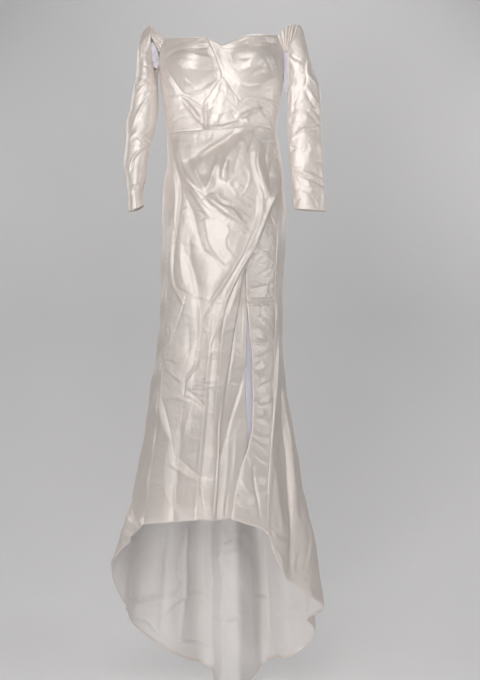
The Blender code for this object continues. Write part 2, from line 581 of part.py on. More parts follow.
sleeve = sleeve_points(1, RIGHT_SLEEVE, RIGHT_RING, right_join, RIGHT_CUFF, RIGHT_SLEEVE_FOLDS)
right_satin = satin("sleeve right satin", (0.77, 0.71, 0.67))
cloth_object("sleeve_right", sleeve[:, ::-1], SLEEVE_WALL, right_satin, True)
right_peak = sleeve[0, RIGHT_STRAP_POINTS][::-1]
strap = strap_points(cup_right[:3, -1], right_peak, 1, 0.0021, 0.012, 4, 18, 0.0)
cloth_object("strap_right", strap, SLEEVE_WALL, satin("strap right satin", (0.79, 0.74, 0.70)))
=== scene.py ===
"""The looks of an off-the-shoulder trumpet wedding dress in ivory satin, with long sleeves,
a draped front wrap and a train.

Metres, +Z up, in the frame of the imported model. The front faces -Y, and left and right are as
seen from the front. An angle goes round the body: 0 at the left side, 90 at the front, 180 at
the right, 270 at the back. Every sheet of cloth is a thin closed shell on its solid's form.
"""

import logging
import math
from dataclasses import dataclass, field
from enum import Enum

import bpy
import numpy as np
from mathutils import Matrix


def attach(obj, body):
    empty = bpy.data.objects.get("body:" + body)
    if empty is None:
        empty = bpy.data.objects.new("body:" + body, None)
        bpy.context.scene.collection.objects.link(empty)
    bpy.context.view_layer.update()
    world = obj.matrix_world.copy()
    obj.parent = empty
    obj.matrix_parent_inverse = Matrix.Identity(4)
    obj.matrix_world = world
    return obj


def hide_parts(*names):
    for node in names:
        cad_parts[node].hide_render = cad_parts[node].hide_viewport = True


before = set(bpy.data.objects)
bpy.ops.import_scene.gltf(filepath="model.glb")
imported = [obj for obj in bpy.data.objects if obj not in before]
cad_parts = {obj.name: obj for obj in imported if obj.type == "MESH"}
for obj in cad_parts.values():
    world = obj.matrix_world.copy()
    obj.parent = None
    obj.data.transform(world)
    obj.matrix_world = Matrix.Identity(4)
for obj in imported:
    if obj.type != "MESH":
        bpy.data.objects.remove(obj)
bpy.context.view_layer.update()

MILLIMETRE = 0.001

TINY = 1e-12

# Thicknesses, and how far the overlay lies outside the body's section and the underlap inside it
SKIRT_WALL = 0.0016
BODICE_WALL = 0.0026
SLEEVE_WALL = 0.0016
LINING_WALL = 0.0010
OVERLAY_LIFT = 0.0046
UNDERLAP_DROP = 0.0046
# Heights over which the body's sections and the upright edges are averaged
BODY_SPAN = 0.06
SEAM_SPAN = 0.03
# First guesses of a panel's top and bottom, and the rounds that settle them on its edges
EDGE_GUESSES = (-0.3, -1.4)
EDGE_ROUNDS = 40
# Rings of points round a free edge
RIM_STEPS = 3
# Creases fade out over this distance from a held side
HELD_WIDTH = 0.011
# A crease's section, in half widths: how round its crest is, how fast it falls off, where it ends,
# and how far round its curve it is worked out
CREST = 0.18
FALL = 1.25
CREASE_END = 2.6
CREASE_REACH = 3.4
# Such a crest is slimmer than the solids' bell, so the large folds are a fifth higher
FOLD_GAIN = 1.2
# The front's folds and cups reach this far past the sides and fade in over that much of the
# sine of the angle
FRONT_PAST_SIDE = 0.05
FRONT_FADE = 0.3

Rows = tuple[tuple[float, ...], ...]

# The body's section at each height, as in the solids
# height, left, right, front, back
BODY = (
    (-0.020, 0.166, 0.166, 0.066, 0.050),
    (-0.060, 0.174, 0.172, 0.066, 0.052),
    (-0.100, 0.178, 0.174, 0.064, 0.055),
    (-0.145, 0.177, 0.174, 0.062, 0.055),
    (-0.191, 0.170, 0.169, 0.058, 0.052),
    (-0.240, 0.164, 0.160, 0.055, 0.050),
    (-0.305, 0.156, 0.154, 0.055, 0.050),
    (-0.374, 0.155, 0.165, 0.068, 0.062),
    (-0.442, 0.163, 0.174, 0.082, 0.082),
    (-0.510, 0.169, 0.180, 0.092, 0.100),
    (-0.624, 0.172, 0.182, 0.100, 0.115),
    (-0.761, 0.172, 0.170, 0.104, 0.120),
    (-0.898, 0.180, 0.169, 0.110, 0.126),
    (-1.035, 0.203, 0.182, 0.120, 0.142),
    (-1.172, 0.220, 0.204, 0.132, 0.162),
    (-1.308, 0.246, 0.229, 0.143, 0.186),
    (-1.445, 0.286, 0.257, 0.152, 0.206),
    (-1.548, 0.318, 0.275, 0.158, 0.218),
    (-1.650, 0.326, 0.287, 0.162, 0.226),
    (-1.910, 0.330, 0.292, 0.166, 0.236),
)

# Upright seams and cut edges, as in the solids
# height, angle
LEFT_SEAM = (
    (-0.300, 8.0), (-0.360, 14.8), (-0.448, 21.6), (-0.520, 25.5), (-0.870, 27.9),
    (-1.036, 34.6), (-1.174, 34.2), (-1.300, 35.0), (-1.400, 39.2),
)
RIGHT_SEAM = (
    (-0.300, 177.0), (-0.370, 174.0), (-0.446, 162.6), (-0.520, 148.0), (-0.630, 147.0),
    (-0.870, 152.0), (-1.036, 144.0), (-1.166, 132.5), (-1.296, 124.7), (-1.410, 121.4),
)
CENTRE_BACK = ((-0.300, 270.0), (-0.900, 270.0), (-1.400, 267.0), (-1.900, 262.0))
CENTRE_BACK_LEFT = tuple((height, angle - 360.0) for height, angle in CENTRE_BACK)
WRAP_EDGE = (
    (-0.300, 176.7), (-0.370, 173.6), (-0.425, 166.0), (-0.467, 150.3), (-0.520, 138.8),
    (-0.557, 133.3), (-0.620, 124.1), (-0.665, 116.7), (-0.717, 109.5), (-0.797, 107.1),
    (-0.865, 103.0), (-0.941, 99.9), (-1.047, 95.3), (-1.146, 91.2), (-1.247, 90.1),
    (-1.382, 89.1),
)
UNDERLAP_LEFT = ((-0.620, 108.0), (-0.717, 97.0), (-0.940, 88.0), (-1.146, 80.0), (-1.380, 78.0))
UNDERLAP_RIGHT = (
    (-0.620, 116.0), (-0.692, 115.0), (-0.788, 118.5), (-0.860, 122.0), (-0.925, 124.2),
    (-1.048, 123.2), (-1.142, 119.9), (-1.195, 114.7), (-1.227, 110.8), (-1.282, 106.0),
    (-1.327, 103.7), (-1.377, 102.5),
)
# Where the underlap's satin ends in a fold and its lining shows beside it
UNDERLAP_FOLD = (
    (-0.620, 116.0), (-0.692, 114.5), (-0.788, 116.5), (-0.925, 115.5), (-1.060, 113.5),
    (-1.195, 112.0), (-1.227, 110.0), (-1.282, 105.5), (-1.327, 103.0), (-1.377, 102.0),
)
SLIT_EDGE = (
    (-0.440, 158.0), (-0.467, 142.0), (-0.520, 129.0), (-0.620, 114.0), (-0.665, 109.5),
    (-0.700, 112.0), (-0.797, 115.3), (-0.930, 121.0), (-1.048, 120.0), (-1.142, 116.7),
    (-1.195, 111.5), (-1.227, 107.6), (-1.282, 102.8), (-1.327, 100.5), (-1.377, 99.3),
)
ARMHOLE_LEFT = ((-0.047, 20.6), (-0.065, 13.3), (-0.085, 0.0), (-0.300, 0.0))
ARMHOLE_RIGHT = ((-0.039, 157.5), (-0.061, 163.0), (-0.079, 174.0), (-0.095, 180.0), (-0.300, 180.0))
SURPLICE_EDGE = ((-0.058, 76.3), (-0.099, 82.8), (-0.137, 87.7), (-0.164, 90.7), (-0.300, 90.7))
LEFT_SIDE = ((-0.4, 0.0), (0.0, 0.0))
RIGHT_SIDE = ((-0.4, 180.0), (0.0, 180.0))

# Seams and edges that go round the body, as in the solids
# angle, height
WAIST_SEAM = (
    (-90.0, -0.308), (-45.0, -0.311), (0.0, -0.3137), (48.7, -0.3141), (69.5, -0.3118),
    (103.0, -0.3063), (127.0, -0.2984), (175.0, -0.3047), (225.0, -0.306), (270.0, -0.308),
)
SKIRT_HEM = (
    (-98.0, -1.958), (-89.0, -1.955), (-86.0, -1.925), (-77.0, -1.905), (-65.5, -1.869),
    (-51.3, -1.819), (-39.5, -1.769), (-23.5, -1.679), (-10.9, -1.608), (0.0, -1.533), (23.4, -1.462),
    (31.0, -1.433), (39.2, -1.4015), (53.6, -1.393), (67.5, -1.3855), (79.9, -1.378),
    (89.0, -1.382), (99.3, -1.377), (107.3, -1.391), (114.8, -1.401), (121.3, -1.417),
    (125.9, -1.492), (133.1, -1.549), (145.5, -1.586), (155.7, -1.616), (170.0, -1.647),
    (180.0, -1.672), (190.0, -1.702), (200.0, -1.745), (206.9, -1.793), (215.9, -1.832),
    (225.0, -1.864), (233.0, -1.872), (241.0, -1.890), (246.0, -1.915), (249.5, -1.950),
    (262.0, -1.958),
)
NECKLINE_LEFT = ((0.0, -0.047), (20.6, -0.0482), (54.0, -0.0562), (76.3, -0.0587))
NECKLINE_RIGHT = (
    (76.3, -0.0587), (90.8, -0.0806), (102.8, -0.0642), (116.6, -0.0507), (131.6, -0.0441),
    (157.0, -0.0393), (180.0, -0.039),
)
UNDER_BUST = (
    (0.0, -0.208), (20.0, -0.2106), (51.0, -0.2151), (61.0, -0.2304), (71.0, -0.2453),
    (82.0, -0.2021), (90.7, -0.1643), (101.0, -0.2047), (110.0, -0.2342), (119.0, -0.218),
    (136.0, -0.2192), (168.0, -0.2278), (180.0, -0.232),
)
BACK_TOP = (
    (-90.0, -0.041), (-60.0, -0.038), (-33.0, -0.040), (-27.0, -0.058), (-18.0, -0.095),
    (-10.0, -0.119), (-5.0, -0.119), (0.0, -0.100),
)
BACK_TOP_RIGHT = (
    (180.0, -0.105), (184.0, -0.150), (190.0, -0.168), (197.0, -0.145), (206.0, -0.090),
    (212.0, -0.056), (216.0, -0.040), (240.0, -0.038), (270.0, -0.041),
)

# Padded cups: middle in the front view, height, radius, how much lower than wide and how flat
CUPS = ((-0.083, -0.128), (0.088, -0.124))
CUP_HEIGHT = 0.030
CUP_RADIUS = 0.056
CUP_SQUASH = 1.05
CUP_FLATNESS = 2.4

# Hanging flutes of the skirt, as in the solids
# top_angle, hem_angle, half_width, height, starts, full, flatness
FLUTES = (
    (20.0, 22.0, 10.0, -0.010, -0.90, -1.40, 2.0),
    (166.0, 137.0, 9.0, -0.016, -0.95, -1.30, 2.0),
    (176.0, 166.0, 10.0, 0.007, -1.20, -1.60, 2.0),
    (192.0, 190.0, 8.0, -0.036, -1.10, -1.66, 2.0),
    (206.0, 207.0, 8.0, 0.014, -0.80, -1.60, 2.0),
    (222.0, 224.0, 8.0, -0.016, -0.70, -1.60, 2.0),
    (238.0, 241.0, 7.0, 0.020, -0.80, -1.60, 2.0),
    (262.0, 260.0, 12.0, -0.110, -0.95, -1.50, 6.0),
    (290.0, 279.0, 7.0, 0.022, -0.90, -1.60, 2.0),
    (306.0, 298.0, 9.0, -0.018, -0.60, -1.60, 2.0),
    (322.0, 318.0, 10.0, 0.014, -0.80, -1.60, 2.0),
    (342.0, 338.0, 10.0, -0.014, -0.90, -1.60, 2.0),
)
# They turn from their top angle to their hem angle from this height, over that height
FLUTE_TOP = -0.4
FLUTE_RUN = 1.4

# Largest folds of the front, as in the solids: start, middle, end, half width and height
# x0, z0, x1, z1, x2, z2, half_width, height
DRAPE = (
    (0.034, -0.324, -0.018, -0.360, -0.071, -0.387, 0.016, -0.0090),
    (-0.127, -0.336, -0.110, -0.422, -0.042, -0.505, 0.018, 0.0120),
    (-0.042, -0.505, -0.004, -0.536, 0.056, -0.578, 0.018, 0.0110),
    (-0.083, -0.400, -0.062, -0.448, -0.042, -0.492, 0.013, 0.0060),
    (-0.013, -0.398, -0.026, -0.443, -0.040, -0.490, 0.013, 0.0060),
    (0.083, -0.318, 0.010, -0.408, 0.012, -0.463, 0.018, 0.0110),
    (0.115, -0.350, 0.098, -0.400, 0.132, -0.515, 0.015, 0.0090),
    (0.150, -0.362, 0.138, -0.417, 0.127, -0.476, 0.015, -0.0080),
    (-0.150, -0.325, -0.127, -0.523, -0.132, -0.617, 0.016, 0.0050),
    (0.161, -0.452, 0.124, -0.543, 0.088, -0.645, 0.016, 0.0100),
    (0.088, -0.645, 0.046, -0.720, 0.012, -0.794, 0.018, 0.0100),
    (0.012, -0.794, -0.003, -0.941, -0.021, -1.140, 0.018, 0.0080),
    (-0.160, -0.840, -0.175, -1.047, -0.134, -1.176, 0.018, 0.0060),
    (-0.110, -0.640, -0.060, -0.800, -0.075, -1.000, 0.032, -0.0090),
    (-0.030, -0.900, -0.045, -1.100, -0.070, -1.390, 0.026, 0.0090),
    (-0.110, -1.130, -0.120, -1.250, -0.130, -1.395, 0.022, -0.0080),
)
MIDRIFF_FOLDS = (
    (-0.117, -0.217, -0.089, -0.255, -0.061, -0.290, 0.013, -0.0070),
    (-0.046, -0.236, -0.045, -0.279, -0.046, -0.316, 0.010, -0.0080),
    (0.110, -0.250, 0.085, -0.263, 0.059, -0.278, 0.012, 0.0055),
    (0.083, -0.255, 0.051, -0.281, 0.006, -0.307, 0.012, 0.0060),
    (-0.027, -0.296, 0.018, -0.291, 0.059, -0.281, 0.013, -0.0060),
)

# Sleeve sections, as in the solids
# height, inner, outer, half_depth, middle
LEFT_SLEEVE = (
    (0.000, 0.199, 0.2165, 0.010, 0.002),
    (-0.015, 0.200, 0.2240, 0.018, 0.003),
    (-0.035, 0.202, 0.2320, 0.026, 0.004),
    (-0.080, 0.202, 0.2410, 0.036, 0.006),
    (-0.130, 0.189, 0.2445, 0.042, 0.008),
    (-0.157, 0.186, 0.2480, 0.044, 0.008),
    (-0.191, 0.183, 0.2560, 0.040, 0.006),
    (-0.237, 0.182, 0.2600, 0.036, 0.004),
    (-0.282, 0.187, 0.2730, 0.032, 0.000),
    (-0.328, 0.2010, 0.2705, 0.033, -0.004),
    (-0.373, 0.2095, 0.2755, 0.031, -0.006),
    (-0.400, 0.2130, 0.2790, 0.030, -0.008),
    (-0.442, 0.2180, 0.2710, 0.031, -0.010),
    (-0.487, 0.2260, 0.2670, 0.033, -0.012),
    (-0.530, 0.2200, 0.2650, 0.031, -0.012),
)
RIGHT_SLEEVE = (
    (0.000, 0.200, 0.2260, 0.008, 0.002),
    (-0.015, 0.198, 0.2310, 0.014, 0.003),
    (-0.035, 0.194, 0.2370, 0.018, 0.004),
    (-0.080, 0.188, 0.2500, 0.024, 0.006),
    (-0.130, 0.188, 0.2640, 0.026, 0.008),
    (-0.170, 0.189, 0.2780, 0.025, 0.008),
    (-0.210, 0.189, 0.2810, 0.022, 0.006),
    (-0.282, 0.186, 0.2830, 0.019, 0.004),
    (-0.340, 0.192, 0.2850, 0.018, 0.002),
    (-0.420, 0.195, 0.2905, 0.016, 0.000),
    (-0.487, 0.201, 0.2930, 0.015, -0.002),
    (-0.530, 0.206, 0.2970, 0.015, -0.002),
)
# The slanted top ring of each sleeve, as in the solids
# x, y, z, reach
LEFT_RING = (
    (-0.1895, -0.004, -0.131, 0.05),
    (-0.1940, -0.010, -0.128, 0.05),
    (-0.1985, -0.015, -0.112, 0.05),
    (-0.2008, -0.018, -0.088, 0.05),
    (-0.2018, -0.019, -0.066, 0.05),
    (-0.2022, -0.018, -0.048, 0.04),
    (-0.2024, -0.017, -0.034, 0.03),
    (-0.2025, -0.014, -0.021, 0.03),
    (-0.2075, -0.003, -0.0015, 0.02),
    (-0.1970, 0.010, -0.004, 0.04),
    (-0.1860, 0.022, -0.011, 0.05),
    (-0.1690, 0.031, -0.024, 0.05),
)
RIGHT_RING = (
    (0.1885, -0.006, -0.192, 0.05),
    (0.1882, -0.014, -0.162, 0.05),
    (0.1880, -0.018, -0.122, 0.05),
    (0.1881, -0.020, -0.081, 0.05),
    (0.1960, -0.018, -0.062, 0.04),
    (0.2053, -0.016, -0.042, 0.03),
    (0.2135, -0.011, -0.022, 0.03),
    (0.2216, -0.006, -0.0025, 0.02),
    (0.2200, 0.004, -0.0010, 0.02),
    (0.2090, 0.016, -0.003, 0.04),
    (0.1910, 0.028, -0.010, 0.05),
    (0.1700, 0.034, -0.024, 0.05),
)
# angle round the sleeve, height
LEFT_CUFF = (
    (0.0, -0.513), (45.0, -0.522), (90.0, -0.531), (135.0, -0.536), (180.0, -0.535),
    (270.0, -0.526), (360.0, -0.513),
)
RIGHT_CUFF = ((0.0, -0.523), (90.0, -0.529), (180.0, -0.5315), (270.0, -0.529), (360.0, -0.523))
LEFT_JOIN_ANGLES = (-32.4, -25.2, -18.0, -9.9, -3.6)
RIGHT_JOIN_ANGLES = (212.4, 205.2, 198.0, 189.9, 183.6)
JOIN_LIFT = 0.0024
JOIN_RISE = 0.0020

# White lining that shows at the underarms: the strip's two edges and how far back each lies
# height, left, right, left_back, right_back
LEFT_FACING = (
    (-0.056, -0.2035, -0.1940, -0.0140, -0.0140),
    (-0.075, -0.2045, -0.1840, -0.0145, -0.0110),
    (-0.094, -0.2040, -0.1800, -0.0145, -0.0070),
    (-0.110, -0.2000, -0.1800, -0.0120, -0.0040),
    (-0.126, -0.1935, -0.1830, -0.0060, -0.0030),
)
RIGHT_FACING = (
    (-0.066, 0.1705, 0.1930, -0.0160, -0.0140),
    (-0.082, 0.1750, 0.1925, -0.0090, -0.0145),
    (-0.100, 0.1765, 0.1920, -0.0050, -0.0130),
    (-0.130, 0.1765, 0.1920, -0.0040, -0.0100),
    (-0.170, 0.1762, 0.1915, -0.0040, -0.0080),
    (-0.192, 0.1770, 0.1890, -0.0030, -0.0050),
)

# Creases placed over the front view, uneven as the satin shows them
# name, half width and height in millimetres, x and y of its line's picture points in turn
OVERLAY_CREASES = (
    ("swag, upper edge", 6.5, 7.5,
     (178, 142, 179, 152, 181, 166, 186, 176, 193, 186, 201, 197, 208, 206, 216, 214)),
    ("swag, broad band", 13, 8, (184, 178, 191, 189, 199, 202, 207, 213, 214, 219)),
    ("hollow under the swag", 14, -10, (180, 184, 187, 200, 193, 216, 198, 235, 203, 250)),
    ("V, left leg", 4.5, 3.2, (190.5, 157, 195, 168, 200, 180, 204, 190, 206.5, 193)),
    ("V, right leg", 4.5, 3, (219, 150, 215.5, 163, 211, 178, 206.5, 192)),
    ("V, hollow", 9, -3, (205, 158, 205, 170, 205, 182)),
    ("roll above the diagonal hollow", 7, 7.5, (194, 158, 201, 150, 211, 143, 222, 137, 231, 132)),
    ("diagonal hollow from the waist", 7, -10, (199, 160, 206, 152, 216, 145, 227, 138, 235, 132)),
    ("fold from the waist, long", 6, 7, (246, 132, 240, 140, 233, 149, 228, 158, 226, 169, 226, 182)),
    ("hollow beside it", 8, -4, (226, 146, 222, 158, 219, 172, 215, 186)),
    ("tan hollow", 6, -4, (247, 137, 241, 147, 237, 159, 234, 171)),
    ("short fold at the waist", 4, 3, (253, 131, 251, 138, 248, 146, 245, 153)),
    ("gather 1", 2.4, 1.4, (193, 132, 193.5, 137, 194, 143)),
    ("gather 2", 2.4, -1.4, (197, 132, 197, 139, 198, 146)),
    ("gather 3", 2.4, 1.6, (201, 132, 201, 137, 202, 142)),
    ("gather 4", 2.2, -1.6, (204.5, 131, 205, 137, 205, 144)),
    ("gather 5", 2.2, 1.8, (208, 131, 208, 136, 207.5, 141)),
    ("gather 6", 2.2, -1.4, (211.5, 131, 211, 135, 210.5, 139)),
    ("gather 7", 2.2, 1.4, (215, 131, 214, 134.5, 213, 138)),
    ("hollow at the waist, right", 8, -5, (262, 130, 257, 135, 252, 142, 249, 150)),
    ("level fold to the side seam", 4, 3.5, (252, 146, 258, 142, 265, 140.5, 272, 140, 277, 140)),
    ("pocket at the hip", 11, -10, (268, 143, 267, 155, 268, 168, 270, 180)),
    ("tension fold, middle", 4.5, 3.5, (269, 162, 274, 157, 280, 151)),
    ("tension fold, lower", 4.5, 3.5, (270, 173, 275, 168, 281, 163)),
    ("tension fold, upper", 4, 2.5, (272, 148, 276, 145, 279, 143)),
    ("upright fold beside the pocket", 5.5, 8,
     (262, 144, 259, 151, 257, 160, 258, 169, 261, 179, 264, 188, 266.5, 198)),
    ("rolled band along the wrap edge", 15, 11,
     (259, 182, 262, 196, 262, 210, 259, 224, 254, 236, 248, 248, 242, 259, 235, 271, 228, 283, 221, 296)),
    ("hollow along the rolled band", 9, -10,
     (256, 196, 256, 212, 252, 228, 246, 243, 241, 256, 233, 269, 224, 283, 215, 296, 208, 308, 202, 319)),
    ("crease below the wrap", 4, -9,
     (250, 258, 246, 264, 240, 276, 233, 291, 228, 303, 222, 318, 216, 334, 211, 348)),
    ("band right of that crease", 7, 3, (240, 284, 235, 298, 230, 314, 226, 330)),
    ("curl, upper", 3.5, 2.5, (218, 190, 219, 197, 225, 201, 233, 203)),
    ("curl, lower", 4, 3.2, (214, 199, 222, 206, 232, 210, 237, 216, 242, 222, 245, 225)),
    ("curl, hollow", 3.5, -2, (218, 201, 225, 204.5, 233, 206.5)),
    ("arc at the hip", 3.5, 2.5, (246, 168, 249, 173, 249, 181, 246, 189, 242, 195)),
    ("dimple", 4, -2.5, (233, 181, 235, 184, 234, 187)),
    ("ring over the dimple", 4, 2.2, (228, 186, 231, 181, 236, 177, 241, 175)),
    ("short level crease", 3, 1.8, (240, 206, 246, 207.5, 252, 208)),
    ("short fold", 4, 2.5, (243, 213, 246, 216, 250, 219)),
    ("short fold, lower", 4, 3, (241, 222, 245, 226, 250, 230)),
    ("level packing crease, hip", 2.6, 2.4,
     (178, 218, 190, 219.5, 200, 221.5, 208, 219.5, 216, 219, 224, 223, 229, 226)),
    ("dimple on it", 4, -2, (203, 214, 206, 217, 209, 219)),
    ("long thigh fold, left", 5, 3.2, (205, 221, 207, 231, 209, 241, 213, 249, 221, 259, 228, 267, 231, 272)),
    ("long thigh fold, right", 5, 3.5,
     (226, 226, 229, 231, 226, 238, 226, 247, 231, 254, 236, 261, 236, 268)),
    ("loop", 4, 2.5, (231, 231, 238, 230, 243, 234, 246, 241)),
    ("grey hollow", 9, -5.5, (199, 249, 209, 255, 219, 263, 227, 271)),
    ("upright fold by the side seam", 5, 4,
     (171.5, 141, 172.5, 158, 174, 178, 176, 196, 175, 215, 173, 235, 171.5, 256, 171, 277)),
    ("valley inside it", 6, -8,
     (175, 137, 174, 150, 175.5, 165, 179, 180, 180, 200, 177, 222, 175, 240, 173.5, 258, 173, 272,
     175, 285)),
    ("broad upright light", 14, 5, (181, 228, 181, 246, 181, 262, 183, 278, 188, 290)),
    ("soft upright hollow", 12, -4, (189, 232, 190, 250, 192, 270, 195, 288)),
    ("corner fold, long side", 3.5, 3, (171, 281, 175, 290, 180, 299, 184, 306)),
    ("corner fold, top", 3, -2.6, (174, 284, 181, 290, 188, 292)),
    ("corner fold, right side", 3, -2.8, (187, 293, 184, 303, 180, 316, 177, 325, 175, 332)),
    ("level packing crease, thigh", 2.6, 2.8, (186, 291, 197, 296, 210, 299.5, 220, 302, 228, 302.5)),
    ("wide hollow at the knee", 22, -6, (188, 324, 189, 340, 188, 356)),
    ("short crease, left", 3, -3.5, (165, 361, 172, 363, 178, 365.5)),
    ("ridge over that crease", 3, 2.4, (165, 358, 172, 360, 178, 362.5)),
    ("valley from the side seam", 6, -3.4, (161, 397, 165, 410, 170, 430, 173, 448, 174, 460)),
    ("short fold, left", 4, 2.2, (166, 368, 175, 377, 184, 383)),
    ("star, upward arm", 3, -7, (198.5, 362, 193, 371, 187.5, 378, 185, 386, 184.5, 395)),
    ("star, right arm", 4.5, 5, (187, 388.5, 198, 388, 210, 387, 222, 386)),
    ("star, crease under the right arm", 3, -3.5, (187, 391, 194, 394, 200, 397, 208, 397)),
    ("star, second right arm", 4, 2.4, (196, 379, 206, 381, 217, 381)),
    ("star, between the arms", 4, -2.4, (192, 384, 205, 385, 219, 384)),
    ("star, lower right arm", 4, -4, (188, 391, 198, 399, 204, 405, 208, 410)),
    ("star, left arm", 4, 4, (163, 399, 176, 398, 190, 402)),
    ("star, tip", 4, 2, (206, 411, 213, 415, 219, 420)),
    ("star, lower hollow", 3.5, -2.5, (178, 396, 190, 399, 200, 405, 206, 413)),
    ("upright hollow at the shin", 24, -12, (213, 352, 210, 380, 208, 411, 204, 450, 199, 500)),
    ("broad light at the shin", 16, 4, (192, 404, 187, 422, 183, 442)),
    ("slanting crease", 3.2, -7, (175, 456, 186, 465, 198, 476, 207, 478, 217, 477)),
    ("fold below the slanting crease", 4.5, 7, (170, 464, 184, 474, 196, 480)),
    ("level packing crease, shin", 2.6, 2.6, (143, 480, 156, 483, 172, 484, 200, 483, 216, 488)),
    ("bright streak at the hem", 6, 3.5, (166, 504, 175, 511, 187, 519)),
    ("valley beside the cut edge", 5, -7, (222, 396, 218.5, 425, 217.5, 450, 215.5, 480, 213, 512)),
    ("thin upright crease", 3, 1.6, (166, 452, 165, 466, 164, 480)),
    ("curved fold at the hem", 5, 2.5, (164, 484, 167, 498, 175, 509, 186, 518)),
    ("thin upright crease, right", 3, -2, (200, 481, 202, 496, 205, 512)),
    ("upright crease by the seam", 4, -2.2, (151, 486, 148, 502, 146, 520)),
)
UNDERLAP_CREASES = (
    ("slanting hollow", 7, -4, (245, 368, 239, 392, 231, 418, 225, 442, 221, 458)),
    ("upright fold", 6, 3, (238, 305, 236, 330, 234, 350, 231, 372, 229, 395)),
    ("upright fold, lower", 5, 2.5, (236, 430, 235, 455, 233, 480)),
    ("upright hollow", 4, -2, (243, 300, 242, 330, 241, 360)),
    ("broad fold at the hem", 7, 3, (229, 440, 227, 465, 225, 490, 222, 512)),
    ("thin crease at the hem", 3, -2, (227, 494, 226, 505, 225, 516)),
)
RIGHT_FRONT_CREASES = (
    ("mark at the hip", 3, -2.6, (281, 189, 280.5, 194, 280, 200)),
    ("upright fold at the side", 4, 2.5, (283, 205, 284, 222, 284, 240)),
    ("short level mark", 3, -2, (277, 226, 280, 226, 283, 226)),
    ("slanting mark", 4, -2.2, (270, 214, 273, 222, 276, 228)),
    ("soft fold", 5, 2.4, (264, 234, 269, 237, 276, 236)),
    ("arrow, upper side", 3.5, -3, (262, 251, 270, 256, 280, 262)),
    ("arrow, roll above", 3.5, 2.2, (266, 249, 273, 252.5, 281, 257)),
    ("arrow, lower side", 3.5, -2.6, (280, 262, 273, 267, 267, 269)),
    ("wedge hollow", 5, -3.2, (250, 289, 258, 287, 267, 285)),
    ("hook", 3.5, -3, (270, 283, 269, 290, 272, 296, 278, 299)),
    ("hook, light line", 3, 2.4, (272, 288, 276, 284, 281, 280)),
    ("level crease, roll above", 5, 7, (247, 299.5, 258, 300, 268, 299.5, 280, 301)),
    ("level crease", 3.5, -9, (247, 304.5, 258, 304.5, 268, 304, 276, 304)),
    ("crinkle 1", 3.5, -2.4, (262, 306, 267, 310, 271, 315)),
    ("crinkle 2", 4, -2.6, (257, 317, 266, 321, 273, 328)),
    ("crinkle 3", 6, -3.4, (252, 331, 258, 329, 264, 333, 270, 341)),
    ("crinkle 4", 4, 2.4, (255, 336, 261, 337.5, 267, 337)),
    ("crinkle 5", 5, -3.2, (253, 342, 262, 344, 272, 343)),
    ("crinkle 6", 5, 3, (254, 356, 262, 352, 270, 347)),
    ("crinkle 7", 5, -2.6, (256, 366, 263, 361, 271, 366)),
    ("crinkle 8", 6, -3.4, (254, 374, 260, 377, 263, 382)),
    ("crinkle 9", 3.2, -3, (257, 388, 264, 384, 271, 381)),
    ("crinkle 10", 3.2, 3, (257, 389, 257, 395, 259, 401)),
    ("crinkle 11", 3.5, -3, (254, 401, 261, 406, 269, 404)),
    ("crinkle 12", 3.5, 2.6, (262, 401, 268, 400, 272, 396)),
    ("crinkle 13", 4, -2.8, (262, 410, 267, 418, 271, 426)),
    ("crinkle 14", 5, -3.4, (252, 433, 261, 437, 271, 438)),
    ("crinkle 15", 4, -2.6, (252, 440, 260, 445, 266, 449)),
    ("crinkle 16", 5, -3, (254, 454, 261, 460, 268, 463)),
    ("crinkle 17", 5, -3.5, (258, 476, 264, 478, 270, 478)),
    ("crinkle 18", 4, 2.6, (257, 484, 263, 486, 268, 484)),
    ("crinkle 19", 4, -3, (257, 490, 263, 492, 268, 491)),
    ("flap, upper light", 7, 8, (240, 478, 245, 485, 250, 493)),
    ("flap, lower light", 5, 7, (238, 503, 246, 506, 255, 505)),
    ("flap, hollow between", 5, -8, (238, 494, 246, 498, 254, 497)),
    ("fold between flap and panel", 4, -8, (253, 466, 254, 480, 256, 492, 258, 503, 260, 518)),
    ("flap, top edge", 4, 5, (246, 450, 249, 458, 252, 466)),
)
CUP_LEFT_CREASES = (
    ("band under the neckline", 4, 2.2, (163, 56, 171, 50, 180, 45.5, 193, 44, 206, 43.5)),
    ("hollow under the band", 5, -3, (166, 59, 175, 52, 186, 48.5, 198, 48, 208, 48)),
    ("upper curved fold", 3.5, 1.8, (186, 52, 200, 56.5, 216, 58)),
    ("upper curved crease", 3.5, -1.6, (184, 55.5, 198, 60, 214, 61.5)),
    ("edge of the upper shade", 4, -2, (192, 63.5, 205, 67, 218, 64.5)),
    ("edge of the lower light", 4, 2, (190, 68, 204, 70.5, 218, 68)),
    ("cup seam, side", 3, -3, (168, 70, 173, 79, 180, 89, 186, 96)),
    ("cup seam, under", 3, -2.6, (186, 96, 198, 93, 210, 86.5, 220, 77.5)),
    ("light beside the side seam", 3, 1.4, (166, 74, 171, 83, 178, 93)),
    ("upright dart", 2.5, -0.9, (194, 64, 194, 75, 195, 88)),
    ("surplice edge", 3.5, 2.2, (207, 39.5, 213, 52, 218.5, 66, 221.5, 75)),
    ("small fold at the side", 3.5, -1.6, (160, 72, 163, 80, 167, 88)),
)
